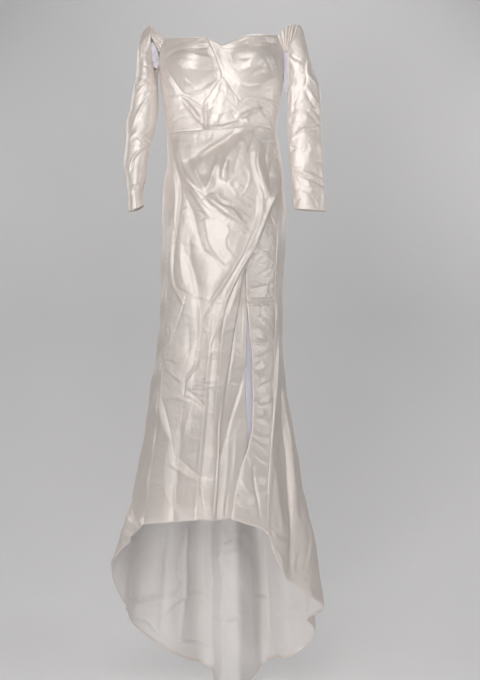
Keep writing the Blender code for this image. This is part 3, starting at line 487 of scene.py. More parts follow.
CUP_RIGHT_CREASES = (
    ("hollow under the neckline", 8, -4, (244, 44.5, 255, 42.5, 266, 42, 277, 43)),
    ("band at the neckline", 5, 2.4, (240, 39.5, 250, 37.5, 262, 37, 276, 38)),
    ("hollow of the cup", 12, -3.6, (236, 54, 243, 58, 250, 57)),
    ("light below the hollow", 9, 1.8, (230, 60, 238, 67, 248, 69)),
    ("dent", 10, -3, (252, 75, 258, 71, 266, 69.5)),
    ("upright fold, right", 4, -1.8, (262, 52, 268, 62, 273, 74)),
    ("upright light, right", 4, 1.8, (268, 50, 274, 62, 278, 76)),
    ("slanting fold, left", 4, -1.6, (230, 52, 233, 62, 240, 70)),
    ("light at the under-seam", 6, 2.5, (238, 82, 248, 86, 260, 84)),
)
MIDRIFF_CREASES = (
    ("shadow fold, left", 7, -2.4, (184, 97, 192, 108, 199, 117, 204, 124)),
    ("light beside it", 6, 2, (186, 99, 196, 109, 203, 116)),
    ("gather", 3.5, -2.6, (205, 104, 205, 112, 205.5, 120, 205, 130)),
    ("light beside the gather", 3.5, 2.2, (208, 108, 208.5, 116, 209, 124)),
    ("pinch", 3, -3, (203, 116, 206, 118, 209, 117)),
    ("right fold, upper", 4, 2.4, (262, 108, 252, 113, 243, 118)),
    ("right fold, lower", 4, 2.6, (252, 110, 241, 119, 226, 127)),
    ("crease between them", 4, -2.4, (257, 110, 247, 116, 236, 122)),
    ("dark band", 7, -2.5, (212, 125, 224, 123.5, 236, 120.5, 245, 116.5)),
    ("light band", 5, 2.2, (210, 115, 222, 113, 236, 108)),
    ("crease from the V", 4, -1.8, (222, 80, 220, 92, 214, 103, 208, 112)),
    ("fold from the V", 4, 1.8, (226, 84, 226, 96, 221, 106)),
)
LEFT_SLEEVE_CREASES = (
    ("crease to the elbow", 4, -2.4, (155.5, 81, 146, 82.5, 140, 86.5, 136, 92)),
    ("roll over the elbow", 4, 1.4, (157, 73, 147, 74, 139, 78)),
    ("thin ridge to the elbow", 2.6, 2.4, (158, 77.6, 151, 77.8, 145.7, 79, 138.6, 83, 134.3, 88.6, 133, 92)),
    ("long slanting crease", 4, -2.2, (150.5, 90, 143.5, 99, 136.5, 110, 131, 121)),
    ("long thin ridge", 2.6, 2.4, (154.3, 88.6, 147, 98, 140, 109.3, 134.3, 121.4, 131.4, 128.6)),
    ("slanting crease, lower", 4, -1.8, (152, 130, 142, 134, 134, 139)),
    ("thin ridge, lower", 2.6, 2.2, (136, 132, 131.5, 137.5, 128.6, 143)),
    ("crease at the forearm", 4, -2.2, (149, 146.5, 141, 152.5, 134, 161, 130, 173)),
    ("kink at the forearm", 2.4, 2, (145.7, 137, 148, 140.5, 150.7, 144.3)),
    ("thin ridge at the forearm", 2.6, 2.6, (150.7, 143, 141.4, 148.6, 134.3, 155.7, 130.5, 164, 128.6, 172)),
    ("thin ridge at the cuff", 2.6, 2.2, (140, 183, 134.3, 187, 130, 195.7)),
    ("crease at the cuff", 3.5, -1.8, (143, 176, 141, 190, 140, 204)),
    ("crease at the head", 4, -2.2, (146, 38, 143, 50, 141, 64)),
    ("thin ridge at the head", 2.8, 2, (149.5, 31, 151.5, 40, 154, 50, 155, 58)),
    ("short crease", 3.5, -2, (140, 62, 146, 66, 152, 67)),
)
RIGHT_SLEEVE_CREASES = (
    ("long upper fold", 5, -4, (304, 35, 309, 52, 314, 68, 318, 85)),
    ("light line beside it", 2.6, 2.4, (306.5, 73, 310.7, 78.6, 318, 86)),
    ("short light line", 2.6, 2.2, (308.5, 58, 307, 65, 307.5, 72)),
    ("V fold", 4, -3, (289, 52, 294, 57, 300, 60)),
    ("V fold, light", 4, 2.6, (290, 58, 295, 63, 301, 64)),
    ("oblique crease", 4, -2.2, (305.5, 91, 311, 101.5, 317, 110)),
    ("oblique fold", 2.6, 2.6, (308.3, 88, 314.3, 98.6, 320.3, 106.5)),
    ("oblique crease, lower", 4, -2, (306.5, 112, 312, 118, 317, 124)),
    ("oblique fold, lower", 2.6, 2.4, (309.3, 109.3, 315, 114.3, 320.3, 123)),
    ("level crease", 3, -2.4, (289.5, 125.5, 304, 126.5, 319, 124.5)),
    ("thin roll under it", 2.6, 2.2, (290.5, 140, 297, 134, 304, 129.6, 319, 127.3)),
    ("short crease, left", 3.5, -2.2, (290, 146, 297, 148.5, 304, 149)),
    ("dark slanting crease", 3.5, -4.2, (292, 172.5, 302, 176.5, 313, 181, 323, 186.5)),
    ("light above it", 4, 2.6, (293, 168, 304, 172, 315, 176.5, 323, 181)),
    ("fold at the cuff", 3.5, 2, (296, 190, 304, 193, 314, 194)),
    ("crease at the cuff", 4, -2, (310, 196, 314, 201, 316, 207)),
    ("upright light, left", 5, 2.4, (293, 72, 292, 92, 292, 112)),
)
LINING_CREASES = (
    ("curved crease, left", 5.5, -10, (122, 606, 135, 600, 150, 598, 162, 597, 171, 592, 178, 582)),
    ("hollow below it", 6, 6.5, (126, 610, 138, 604.5, 152, 603, 164, 601)),
    ("curved crease, middle", 5.5, -10, (157, 620, 167, 610, 176, 600.5, 188, 594, 202, 595)),
    ("curved crease, low", 5, -9, (175, 646, 185, 642, 194, 642, 207, 645.5)),
    ("slanting hollow", 6, 6, (129, 618, 145, 620, 155, 631)),
    ("column, left edge", 6, -12, (213.5, 530, 215, 570, 215.5, 610, 216, 650, 217, 680)),
    ("column, right half", 20, -9, (246, 532, 248, 570, 250, 610, 253, 650, 255, 680)),
    ("valley left of the column", 10, 17, (208, 528, 209.5, 570, 210.5, 610, 211, 650, 212, 672)),
    ("valley right of the column", 12, 20, (264, 540, 266, 570, 267.5, 610, 268, 650)),
    ("flute, left", 12, -10, (187, 528, 185, 560, 183, 600, 180, 640)),
    ("soft valley, left", 12, 11, (170, 528, 166, 560, 163, 600, 160, 630)),
    ("column crease, upper", 5.5, -7, (219, 546, 229, 543, 236, 538, 240, 532)),
    ("column crease, lower", 5.5, -7.5, (217, 559, 226, 555, 235, 550, 241, 543)),
    ("column crease, low", 5, -10, (214, 616.5, 227, 618, 242, 614.5)),
    ("right crease", 5, -10, (276, 608.5, 282, 613, 288, 618.5)),
    ("right corner crease", 5, -9, (291, 608.5, 300, 611, 304, 626)),
    ("right level crease", 5, -9, (252, 598, 260, 597, 268, 602)),
)
SIDE_RIGHT_CREASES = (
    ("ridge along the side seam", 6, 3.5, (278.5, 310, 278, 350, 276, 390, 273, 430, 270.5, 462)),
    ("deep valley", 5.5, -10, (282, 384, 283.5, 420, 286, 450, 288.5, 490, 290.5, 530, 289, 565)),
    ("ridge right of it", 5, 3.5, (286, 400, 289, 430, 292, 460, 295, 490, 298, 520)),
    ("level crease", 3, 2.2, (292, 540, 299, 539.5, 306, 539.5)),
    ("ridge at the edge", 5, 6, (309, 524, 311, 540, 309, 558, 306, 572)),
    ("soft hollow", 8, -4, (303, 544, 299, 556, 296, 568)),
    ("soft fold", 6, 3, (300, 548, 295, 560, 294, 574)),
    ("crease", 5, -3, (303, 486, 300, 500, 302, 518)),
    ("short crease", 4, -2, (287, 452, 291, 451, 294, 447)),
    ("hem roll", 5, 5, (266, 533, 275, 539, 287, 543.5)),
    ("hollow above the hem roll", 5, -4, (270, 528, 279, 534, 287, 537)),
    ("light at the bottom", 5, 5, (289, 580, 297, 581, 305, 580)),
    ("broad light left of the valley", 8, 6, (276, 470, 277, 495, 280, 520, 281, 530)),
    ("soft fold under the hem roll", 5, 4, (277, 551, 280, 557, 282, 566)),
    ("light right of the valley", 6, 3, (294, 545, 293, 560, 293, 572)),
    ("fold at the corner", 5, 2.6, (313, 572, 309, 586, 314, 600)),
    ("short ridges", 5, 3, (276, 470, 275, 490, 277, 515)),
    ("short hollows", 4, -2.6, (270, 476, 276, 480, 282, 479)),
    ("short fold", 4, 2.4, (271, 486, 277, 488, 283, 485)),
)
SIDE_LEFT_CREASES = (
    ("light strip", 7, 4, (157, 405, 155, 430, 152, 455, 148, 480, 146, 505)),
    ("dark band by the front's corner", 6, -6, (131, 498, 133, 513, 137, 524, 143, 529)),
    ("light at the front's corner", 5, 4, (139, 508, 139.5, 517, 142, 523)),
    ("crumple, wedge", 4.5, 6, (127, 512, 130, 520, 133.5, 527)),
    ("crumple, hollow", 5.5, -6, (125, 527, 130, 531, 136, 530)),
    ("crescent", 5, 7.5, (123.5, 532, 129, 537, 135, 535.5, 141, 531)),
    ("hollow under the crescent", 4.5, -4, (121, 541, 128, 542, 134, 539)),
    ("light along the edge", 5, 4, (117, 552, 122, 547, 130, 541)),
)
BODICE_BACK_CREASES = (
    ("drag line to the left armhole", 5, -2, (206, 120, 190, 96, 176, 72)),
    ("fold beside it", 5, 2.2, (212, 112, 198, 88, 186, 64)),
    ("drag line to the right armhole", 5, -2, (238, 122, 252, 98, 266, 74)),
    ("level fold above the waist, left", 4, 1.8, (172, 122, 190, 125, 210, 121)),
    ("level crease above the waist, right", 4, -1.8, (236, 120, 254, 124, 272, 121)),
    ("soft fold under the top edge", 6, 2, (196, 50, 214, 54, 236, 50)),
)
SKIRT_BACK_CREASES = (
    ("drag fold to the left hip", 8, 4, (222, 150, 200, 160, 176, 158)),
    ("hollow below it", 7, -4, (222, 162, 202, 174, 178, 172)),
    ("drag fold to the right hip", 8, 4, (228, 152, 250, 164, 276, 160)),
    ("hollow below it, right", 7, -4, (228, 166, 252, 178, 278, 174)),
    ("level packing crease, seat", 3.5, 2.2, (170, 222, 200, 220, 230, 222, 262, 221, 282, 223)),
    ("swag under the seat", 12, -5, (184, 252, 206, 268, 228, 270, 254, 262, 272, 246)),
    ("roll above the swag", 9, 4.5, (186, 240, 208, 254, 230, 257, 254, 250, 270, 236)),
    ("slanting hollow, left thigh", 8, -4, (176, 286, 190, 310, 198, 340)),
    ("slanting fold, left thigh", 8, 4, (186, 280, 200, 306, 208, 340)),
    ("slanting hollow, right thigh", 8, -4, (272, 280, 262, 306, 256, 338)),
    ("level packing crease, thigh", 3.5, 2.2, (168, 302, 200, 300, 232, 303, 276, 301)),
    ("swag at the knee", 10, -4, (180, 350, 204, 366, 230, 368, 260, 354)),
    ("roll above the knee", 8, 4, (182, 338, 206, 352, 232, 354, 262, 342)),
    ("level packing crease, knee", 3.5, 2, (160, 386, 200, 388, 240, 385, 280, 387)),
    ("fold down to the train, left", 9, 4, (196, 392, 188, 430, 176, 470)),
    ("hollow down to the train, left", 9, -4, (206, 396, 200, 436, 190, 476)),
    ("fold down to the train, right", 9, 4, (252, 392, 262, 430, 270, 470)),
    ("level packing crease, shin", 3.5, 2, (150, 478, 200, 480, 240, 478, 290, 481)),
)


def read_table(rows: Rows, column: int, places: np.ndarray, span: float) -> np.ndarray:
    """Read one column of a table, averaged over a span so that its rows join smoothly.

    Args:
        rows: the table; its first column holds the places of its rows.
        column: the column to read.
        places: where to read it.
        span: the width of the average, in the first column's unit.

    Returns:
        The values, in the shape of places.
    """
    table = np.array(rows)
    table = table[np.argsort(table[:, 0])]
    offsets = np.linspace(-1.0, 1.0, 9)
    weights = np.cos(offsets * math.pi / 2.4)
    total = np.zeros_like(places)
    for offset, weight in zip(offsets, weights / weights.sum()):
        total = total + weight * np.interp(places + offset * span / 2, table[:, 0], table[:, column])
    return total


def ease(values: np.ndarray) -> np.ndarray:
    """Go smoothly from 0 to 1, level at both ends."""
    held = np.clip(values, 0.0, 1.0)
    return held * held * (3.0 - 2.0 * held)


def through(rows: np.ndarray, places: np.ndarray, closed: bool = False) -> np.ndarray:
    """Follow a smooth Catmull-Rom curve through rows of numbers.

    Args:
        rows: the numbers that the curve passes through, one row for each whole place.
        places: where to read the curve; 1.5 is halfway between the second row and the third.
        closed: whether the last row is followed by the first.

    Returns:
        One row for each place.
    """
    count = len(rows)
    start = np.floor(places).astype(int)
    if not closed:
        start = np.clip(start, 0, count - 2)
    part = (places - start)[:, None]
    picks = [start + step for step in (-1, 0, 1, 2)]
    picks = [pick % count if closed else np.clip(pick, 0, count - 1) for pick in picks]
    before, first, second, after = (rows[pick] for pick in picks)
    return 0.5 * (
        2.0 * first + (second - before) * part
        + (2.0 * before - 5.0 * first + 4.0 * second - after) * part**2
        + (3.0 * first - before - 3.0 * second + after) * part**3
    )


def along_line(line: np.ndarray, fractions: np.ndarray) -> np.ndarray:
    """Points at these fractions of the length of a line of points."""
    lengths = np.concatenate([[0.0], np.cumsum(np.linalg.norm(np.diff(line, axis=0), axis=1))])
    return np.stack([np.interp(fractions * lengths[-1], lengths, line[:, k]) for k in range(3)], axis=-1)


def crease_height(
    across: np.ndarray, down: np.ndarray, line: np.ndarray, half_width: float, height: float, turn: int
) -> np.ndarray:
    """The height of one crease over the cloth.

    The crease has a rounded crest along its curve and falls off exponentially with the distance
    from it, faster on one side than on the other. It tapers towards both ends of the curve in an
    uneven way.

    Args:
        across: one coordinate of the cloth's points.
        down: the other coordinate, in the same unit.
        line: the curve's points in these coordinates.
        half_width: distance at which the crest has fallen to about a third, in the same unit.
        height: the crease's height, less than 0 for a trough.
        turn: the crease's number, which varies its lean and its unevenness.

    Returns:
        The height at each point of the cloth.
    """
    total = np.zeros_like(across)
    curve = through(line, np.linspace(0.0, len(line) - 1.0, 6 * (len(line) - 1) + 1))
    reach = CREASE_REACH * half_width
    low = curve.min(axis=0) - reach
    high = curve.max(axis=0) + reach
    near = (across > low[0]) & (across < high[0]) & (down > low[1]) & (down < high[1])
    if not near.any():
        return total
    points = np.stack([across[near], down[near]], axis=-1)[:, None, :]
    start = curve[:-1][None]
    step = (curve[1:] - curve[:-1])[None]
    share = ((points - start) * step).sum(-1) / np.maximum((step**2).sum(-1), TINY)
    share = np.clip(share, 0.0, 1.0)
    apart = points - start - step * share[..., None]
    distance = np.hypot(apart[..., 0], apart[..., 1])
    nearest = distance.argmin(axis=1)[:, None]
    distance = np.take_along_axis(distance, nearest, 1)[:, 0]
    side = step[..., 0] * apart[..., 1] - step[..., 1] * apart[..., 0]
    side = np.sign(np.take_along_axis(side, nearest, 1)[:, 0])
    way = (nearest[:, 0] + np.take_along_axis(share, nearest, 1)[:, 0]) / (len(curve) - 1)
    lean = 0.5 * math.sin(2.4 * turn + 1.0)
    taper = np.sin(math.pi * (0.06 + 0.88 * way)) ** 0.8
    taper = taper * (1.0 + 0.18 * np.sin(9.0 * way + 1.7 * turn))
    far = distance / (half_width * (1.0 + lean * side))
    crest = np.exp(CREST - FALL * np.sqrt(far**2 + (CREST / FALL) ** 2))
    total[near] = height * taper * crest * ease(CREASE_END - far)
    return total


def fold_height(xs: np.ndarray, zs: np.ndarray, folds: Rows) -> np.ndarray:
    """The height of the solids' large folds: a crest along each one's parabola.

    Args:
        xs: the points' places across.
        zs: the points' heights.
        folds: each fold's start, middle and end, its half width and its height.

    Returns:
        The height at each point.
    """
    total = np.zeros_like(xs)
    steps = np.linspace(0.0, 1.0, 7)
    first = (1.0 - steps) * (1.0 - 2.0 * steps)
    middle = 4.0 * steps * (1.0 - steps)
    last = steps * (2.0 * steps - 1.0)
    for x0, z0, x1, z1, x2, z2, half_width, height in folds:
        line = np.stack([x0 * first + x1 * middle + x2 * last, z0 * first + z1 * middle + z2 * last], -1)
        total = total + FOLD_GAIN * crease_height(xs, zs, line, half_width, height, 0)
    return total


@dataclass(frozen=True)
class FrontView:
    """The camera's view of the dress, whose picture places the creases that it shows.

    A picture point is 0, 0 at the top left and 480, 680 at the bottom right. The focal length is
    in picture points too, and the sensor's height in millimetres.
    """

    width: float = 480.0
    height: float = 680.0
    focal: float = 842.0
    place: tuple[float, float, float] = (0.051, -2.4, -0.898)
    sensor: float = 24.0

    def picture(self, points: np.ndarray) -> tuple[np.ndarray, np.ndarray]:
        """Where points fall, across and down: their place times the focal length over their depth."""
        scale = self.focal / (points[..., 1] - self.place[1])
        across = self.width / 2 + (points[..., 0] - self.place[0]) * scale
        return across, self.height / 2 - (points[..., 2] - self.place[2]) * scale

    def add_camera(self) -> None:
        """Put the camera at the photograph's place, level and square to the dress."""
        camera = bpy.data.cameras.new("photograph_view")
        camera.sensor_fit = "VERTICAL"
        camera.sensor_height = self.sensor
        camera.lens = self.sensor * self.focal / self.height
        holder = bpy.data.objects.new("photograph_view", camera)
        holder.location = self.place
        holder.rotation_euler = (math.pi / 2, 0.0, 0.0)
        bpy.context.scene.collection.objects.link(holder)
        bpy.context.scene.camera = holder


VIEW = FrontView()
MILLIMETRES_PER_POINT = 2.85


class Facing(Enum):
    """Which way the cloth faces where a set of creases lies."""

    FRONT = -1.0
    BACK = 1.0
    ALL = 0.0


@dataclass(frozen=True)
class DrawnCreases:
    """Creases placed over the front view.

    Attributes:
        rows: for each crease its name, half width and height in millimetres, and the x and y of
            its line's picture points in turn.
        facing: which side of the cloth they are on.
        share: how much of each height is used.
        past_side: how far they reach past the sides, and fade over how much, in the normal's share.
    """

    rows: tuple
    facing: Facing = Facing.FRONT
    share: float = 1.0
    past_side: float = 0.15
    fade: float = 0.35

    def height(self, points: np.ndarray, normals: np.ndarray) -> np.ndarray:
        """The creases' height at each point of the cloth, from its points and unit normals."""
        across, down = VIEW.picture(points)
        total = np.zeros_like(across)
        for turn, (_, half_width, height, line) in enumerate(self.rows):
            reach = half_width / MILLIMETRES_PER_POINT
            points_of_line = np.array(line, float).reshape(-1, 2)
            total += crease_height(across, down, points_of_line, reach, height, turn)
        if self.facing is not Facing.ALL:
            total = total * ease((normals[..., 1] * self.facing.value + self.past_side) / self.fade)
        return total * self.share * MILLIMETRE


@dataclass(frozen=True)
class Crinkles:
    """Small soft crinkles all over a sheet, as uneven as handled satin shows.

    Attributes:
        seed: where its row of chance numbers starts.
        spacing: how far apart they lie, in metres.
        height: the tallest one's height, and least the lowest one's share of it.
        slant: their usual turn from level in radians, and bend their usual bend in half lengths.
    """

    seed: int
    spacing: float = 0.034
    height: float = 0.0009
    least: float = 0.3
    slant: float = 0.9
    bend: float = 0.35
    half_lengths: tuple[float, float] = (0.007, 0.030)
    half_widths: tuple[float, float] = (0.0025, 0.0065)

    def height_at(self, points: np.ndarray) -> np.ndarray:
        """The height at each point: short bent creases, as many as size and spacing give."""
        rng = np.random.default_rng(self.seed)
        across = distance_across(points)
        down = points[..., 2]
        total = np.zeros_like(across)
        area = (across.max() - across.min()) * (down.max() - down.min())
        for turn in range(int(area / self.spacing**2)):
            middle = np.array([
                rng.uniform(across.min(), across.max()), rng.uniform(down.min(), down.max())
            ])
            aim = rng.normal(0.0, self.slant)
            step = np.array([math.cos(aim), math.sin(aim)]) * rng.uniform(*self.half_lengths)
            bend = np.array([-step[1], step[0]]) * rng.normal(0.0, self.bend)
            line = np.stack([middle - step, middle + bend, middle + step])
            height = self.height * rng.uniform(self.least, 1.0) * rng.choice((-1.0, 1.0))
            total += crease_height(across, down, line, rng.uniform(*self.half_widths), height, turn)
        return total


@dataclass(frozen=True)
class Swell:
    """Broad low swells of cloth that hangs free: a sum of slow waves at slanting angles.

    Attributes:
        seed: where its row of chance numbers starts.
        height: how far the waves together may move the cloth.
        length: the middle wave's length in metres.
        spread: the shortest and the longest wave, in middle waves.
        gain: what makes up for waves that seldom all meet.
    """

    seed: int
    height: float = 0.0020
    length: float = 0.10
    waves: int = 7
    spread: tuple[float, float] = (0.55, 1.8)
    stretch: float = 0.8
    gain: float = 1.6

    def height_at(self, points: np.ndarray) -> np.ndarray:
        """The height at each point: a sum of sines of the way along each wave's direction."""
        rng = np.random.default_rng(self.seed)
        across = distance_across(points)
        total = np.zeros_like(across)
        for _ in range(self.waves):
            length = self.length * rng.uniform(*self.spread)
            aim = rng.uniform(0.0, math.pi)
            phase = rng.uniform(0.0, 2.0 * math.pi)
            way = across * math.cos(aim) + self.stretch * points[..., 2] * math.sin(aim)
            total += np.sin(2.0 * math.pi * way / length + phase) / self.waves
        return total * self.height * self.gain


def distance_across(points: np.ndarray) -> np.ndarray:
    """How far each point lies from its row's first point, along the cloth."""
    steps = np.linalg.norm(np.diff(points, axis=1), axis=-1)
    return np.pad(np.cumsum(steps, axis=1), ((0, 0), (1, 0)))


def distance_down(points: np.ndarray) -> np.ndarray:
    """How far each point lies from its column's first point, along the cloth."""
    return distance_across(points.swapaxes(0, 1)).T


def outward(points: np.ndarray, closed: bool) -> np.ndarray:
    """Unit normals of a grid, whose last column may join the first: down crossed with across."""
    down = np.gradient(points, axis=0)
    if closed:
        across = np.roll(points, -1, axis=1) - np.roll(points, 1, axis=1)
    else:
        across = np.gradient(points, axis=1)
    normals = np.cross(down, across)
    return normals / np.maximum(np.linalg.norm(normals, axis=-1, keepdims=True), TINY)


def flute_height(angles: np.ndarray, heights: np.ndarray) -> np.ndarray:
    """How far the skirt's flutes push it out: flattened bells that grow downwards.

    Args:
        angles: the points' angles round the body.
        heights: the points' heights.

    Returns:
        The push at each point, less than 0 between the flutes.
    """
    total = np.zeros_like(angles)
    for top_angle, hem_angle, half_width, height, starts, full, flatness in FLUTES:
        way = ease((FLUTE_TOP - heights) / FLUTE_RUN)
        middle = top_angle + (hem_angle - top_angle) * way
        across = (angles - middle + 180.0) % 360.0 - 180.0
        growth = ease((starts - heights) / (starts - full))
        total = total + height * growth * np.exp(-(np.abs(across / half_width) ** flatness))
    return total


def cup_height(xs: np.ndarray, zs: np.ndarray) -> np.ndarray:
    """How far the two padded cups push the bodice out: a flattened bell over each."""
    total = np.zeros_like(xs)
    for middle_x, middle_z in CUPS:
        apart = np.hypot(xs - middle_x, (zs - middle_z) * CUP_SQUASH)
        total = total + CUP_HEIGHT * np.exp(-((apart / CUP_RADIUS) ** CUP_FLATNESS))
    return total


def body_points(angles: np.ndarray, heights: np.ndarray, lift: np.ndarray | float, folds: Rows) -> np.ndarray:
    """Points of the dress round the body.

    Each section is half an ellipse in front and half a deeper or flatter one behind, moved out
    along its normal by the lift, the large folds, the flutes and the cups.

    Args:
        angles: the points' angles round the body, in degrees.
        heights: the points' heights.
        lift: how far the layer lies outside the body's section.
        folds: the large folds of the front.

    Returns:
        The points, with one more axis than angles.
    """
    left, right, front, back = (read_table(BODY, k, heights, BODY_SPAN) for k in (1, 2, 3, 4))
    turn = np.radians(angles)
    half = (left + right) / 2
    depth = np.where(np.sin(turn) > 0, front, back)
    x = (right - left) / 2 - half * np.cos(turn)
    y = -depth * np.sin(turn)
    out_x = -np.cos(turn) * depth
    out_y = -np.sin(turn) * half
    size = np.hypot(out_x, out_y)
    facing = ease((np.sin(turn) + FRONT_PAST_SIDE) / FRONT_FADE)
    push = lift + flute_height(angles, heights)
    push = push + facing * (fold_height(x, heights, folds) + cup_height(x, heights))
    return np.stack([x + out_x / size * push, y + out_y / size * push, heights], axis=-1)


def panel_grid(
    left: Rows, right: Rows, top: Rows, bottom: Rows, across: np.ndarray, down: np.ndarray, span: float
) -> tuple[np.ndarray, np.ndarray]:
    """Angles and heights of a panel between two upright edges, a top edge and a bottom edge.

    The edges slant, so where they cross is settled in rounds.

    Args:
        left: the left edge, as its angle at each height.
        right: the right edge, as its angle at each height.
        top: the top edge, as its height at each angle.
        bottom: the bottom edge, as its height at each angle.
        across: fractions of the way from left to right.
        down: fractions of the way from top to bottom.
        span: how many degrees of the top and bottom edges are averaged.

    Returns:
        The angles and the heights, each with a row for each step down.
    """

    def angle_at(heights: np.ndarray) -> np.ndarray:
        """The angle of each column at these heights."""
        start, end = (read_table(edge, 1, heights, SEAM_SPAN) for edge in (left, right))
        return start + (end - start) * across

    top_height, bottom_height = (np.full_like(across, height) for height in EDGE_GUESSES)
    for _ in range(EDGE_ROUNDS):
        top_height = 0.5 * top_height + 0.5 * read_table(top, 1, angle_at(top_height), span)
        bottom_height = 0.5 * bottom_height + 0.5 * read_table(bottom, 1, angle_at(bottom_height), span)
    heights = top_height + (bottom_height - top_height) * down[:, None]
    return angle_at(heights), heights


def edge_fractions(steps: int, crowd: float) -> np.ndarray:
    """Fractions from 0 to 1 that lie closer together near both ends, for the seams there."""
    even = np.linspace(0.0, 1.0, steps + 1)
    return (1.0 - crowd) * even + crowd * (1.0 - np.cos(math.pi * even)) / 2


class Side(Enum):
    """A side of a sheet, as seen from outside."""

    LEFT = "left"
    RIGHT = "right"
    TOP = "top"
    BOTTOM = "bottom"


def side_distances(points: np.ndarray, side: Side) -> tuple[np.ndarray, np.ndarray]:
    """How far each point of a grid is from a side, and how far along that side.

    Args:
        points: the grid.
        side: the side.

    Returns:
        The distances away from it and along it, measured on the cloth.
    """
    across = distance_across(points)
    down = distance_down(points)
    return {
        Side.LEFT: (across, down),
        Side.RIGHT: (across[:, -1:] - across, down),
        Side.TOP: (down, across),
        Side.BOTTOM: (down[-1:] - down, across),
    }[side]


@dataclass(frozen=True)
class Seam:
    """The look of a sewn edge: a narrow trough with puckers that fade away from it.

    Attributes:
        depth: how deep the trough is.
        width: how wide it is.
        pucker: the puckers' height.
        pitch: the length of one pucker along the seam.
    """

    depth: float = 0.0009
    width: float = 0.0022
    pucker: float = 0.00035
    pitch: float = 0.013
    fade: float = 0.009

    def height_at(self, away: np.ndarray, along: np.ndarray) -> np.ndarray:
        """The seam's height where the cloth is this far away from it and along it."""
        trough = -self.depth * np.exp(-((away / self.width) ** 2))
        wave = np.sin(2.0 * math.pi * along / self.pitch + 1.9 * np.sin(along / (1.7 * self.pitch)))
        return trough + self.pucker * wave * np.exp(-away / self.fade)


def linear(code: str) -> tuple[float, float, float, float]:
    """An sRGB colour such as #E6DCD3 as linear red, green, blue and alpha."""
    parts = [int(code[k:k + 2], 16) / 255 for k in (1, 3, 5)]
    return (*(p / 12.92 if p <= 0.04045 else ((p + 0.055) / 1.055) ** 2.4 for p in parts), 1.0)


def fill(tree: bpy.types.NodeTree, node: bpy.types.Node, sockets: dict) -> bpy.types.Node:
    """Give a node's inputs, by name or number, their values or the outputs linked to them."""
    for key, value in sockets.items():
        if isinstance(value, bpy.types.NodeSocket):
            tree.links.new(value, node.inputs[key])
        else:
            node.inputs[key].default_value = value
    return node


def add_node(
    tree: bpy.types.NodeTree, kind: str, sockets: dict | None = None, **settings: object
) -> bpy.types.Node:
    """Add a node.

    Args:
        tree: the nodes of the material.
        kind: the node's type.
        sockets: its inputs, as in fill.
        settings: the node's own properties.

    Returns:
        The node.
    """
    node = tree.nodes.new(kind)
    for key, value in settings.items():
        setattr(node, key, value)
    return fill(tree, node, sockets or {})


def new_material(name: str) -> tuple[bpy.types.Material, bpy.types.NodeTree, bpy.types.NodeSocket]:
    """Start a finish: its material, its nodes and the output that gives the place on the dress."""
    material = bpy.data.materials.new(name)
    material.use_nodes = True
    tree = material.node_tree
    return material, tree, add_node(tree, "ShaderNodeTexCoord").outputs["Object"]


def mottled(
    tree: bpy.types.NodeTree, place: bpy.types.NodeSocket, shades: tuple[str, str], patches: float,
    detail: float,
) -> bpy.types.NodeSocket:
    """A colour that drifts between two shades, with so many patches to a metre."""
    light, deep = shades
    cloud = add_node(tree, "ShaderNodeTexNoise", {"Vector": place, "Scale": patches, "Detail": detail})
    return add_node(tree, "ShaderNodeMix", {
        "Factor": cloud.outputs["Fac"], 6: linear(light), 7: linear(deep)}, data_type="RGBA").outputs[2]


CLOTH_MAP = "cloth_metres"


@dataclass(frozen=True)
class SatinFinish:
    """Ivory duchess satin: polyester threads that float over four others at a time.

    The long floats lie flat and side by side, so the face has a soft broad sheen that runs
    across the threads, and reads as cream with warm shadows. Handling leaves fine crumples.
    Polyester has an IOR of about 1.6 and is no metal; matched to the object, whose sheen is
    strong and keeps the cloth's colour, it has 1.9 here and is a fifth metallic.
    """

    name: str
    light: str = "#ECE3DD"
    deep: str = "#E1D6CE"
    patches: float = 11.0
    roughness: float = 0.44
    thread: float = 0.0007
    crumple: float = 0.014

    def material(self) -> bpy.types.Material:
        """Build the finish."""
        material, tree, place = new_material(self.name)
        metres = add_node(tree, "ShaderNodeUVMap", uv_map=CLOTH_MAP).outputs["UV"]
        # Threads are 0.1 mm; they are drawn at 0.7 mm, the finest that the picture can hold
        threads = add_node(tree, "ShaderNodeMapping", {
            "Vector": metres, "Scale": (1 / self.thread, 1 / (12 * self.thread), 1.0)})
        threads = add_node(tree, "ShaderNodeTexNoise", {
            "Vector": threads.outputs[0], "Scale": 1.0, "Detail": 2.0})
        crumple = add_node(tree, "ShaderNodeTexNoise", {
            "Vector": place, "Scale": 1 / self.crumple, "Detail": 4.0, "Roughness": 0.55, "Distortion": 0.6})
        streak = add_node(tree, "ShaderNodeMapRange", {
            "Value": threads.outputs[0], "To Min": self.roughness - 0.04, "To Max": self.roughness + 0.04})
        low = add_node(tree, "ShaderNodeBump", {
            "Height": crumple.outputs["Fac"], "Strength": 0.5, "Distance": 0.0018})
        fine = add_node(tree, "ShaderNodeBump", {
            "Height": threads.outputs["Fac"], "Strength": 0.25, "Distance": 0.0002, "Normal": low.outputs[0]})
        tangent = add_node(tree, "ShaderNodeTangent", direction_type="UV_MAP", uv_map=CLOTH_MAP)
        fill(tree, tree.nodes["Principled BSDF"], {
            "Base Color": mottled(tree, place, (self.light, self.deep), self.patches, 2.0),
            "Roughness": streak.outputs[0], "Normal": fine.outputs[0], "Tangent": tangent.outputs[0],
            "Specular IOR Level": 1.0, "IOR": 1.9, "Metallic": 0.2, "Anisotropic": 0.4,
            "Sheen Weight": 0.02, "Sheen Roughness": 0.45,
        })
        return material


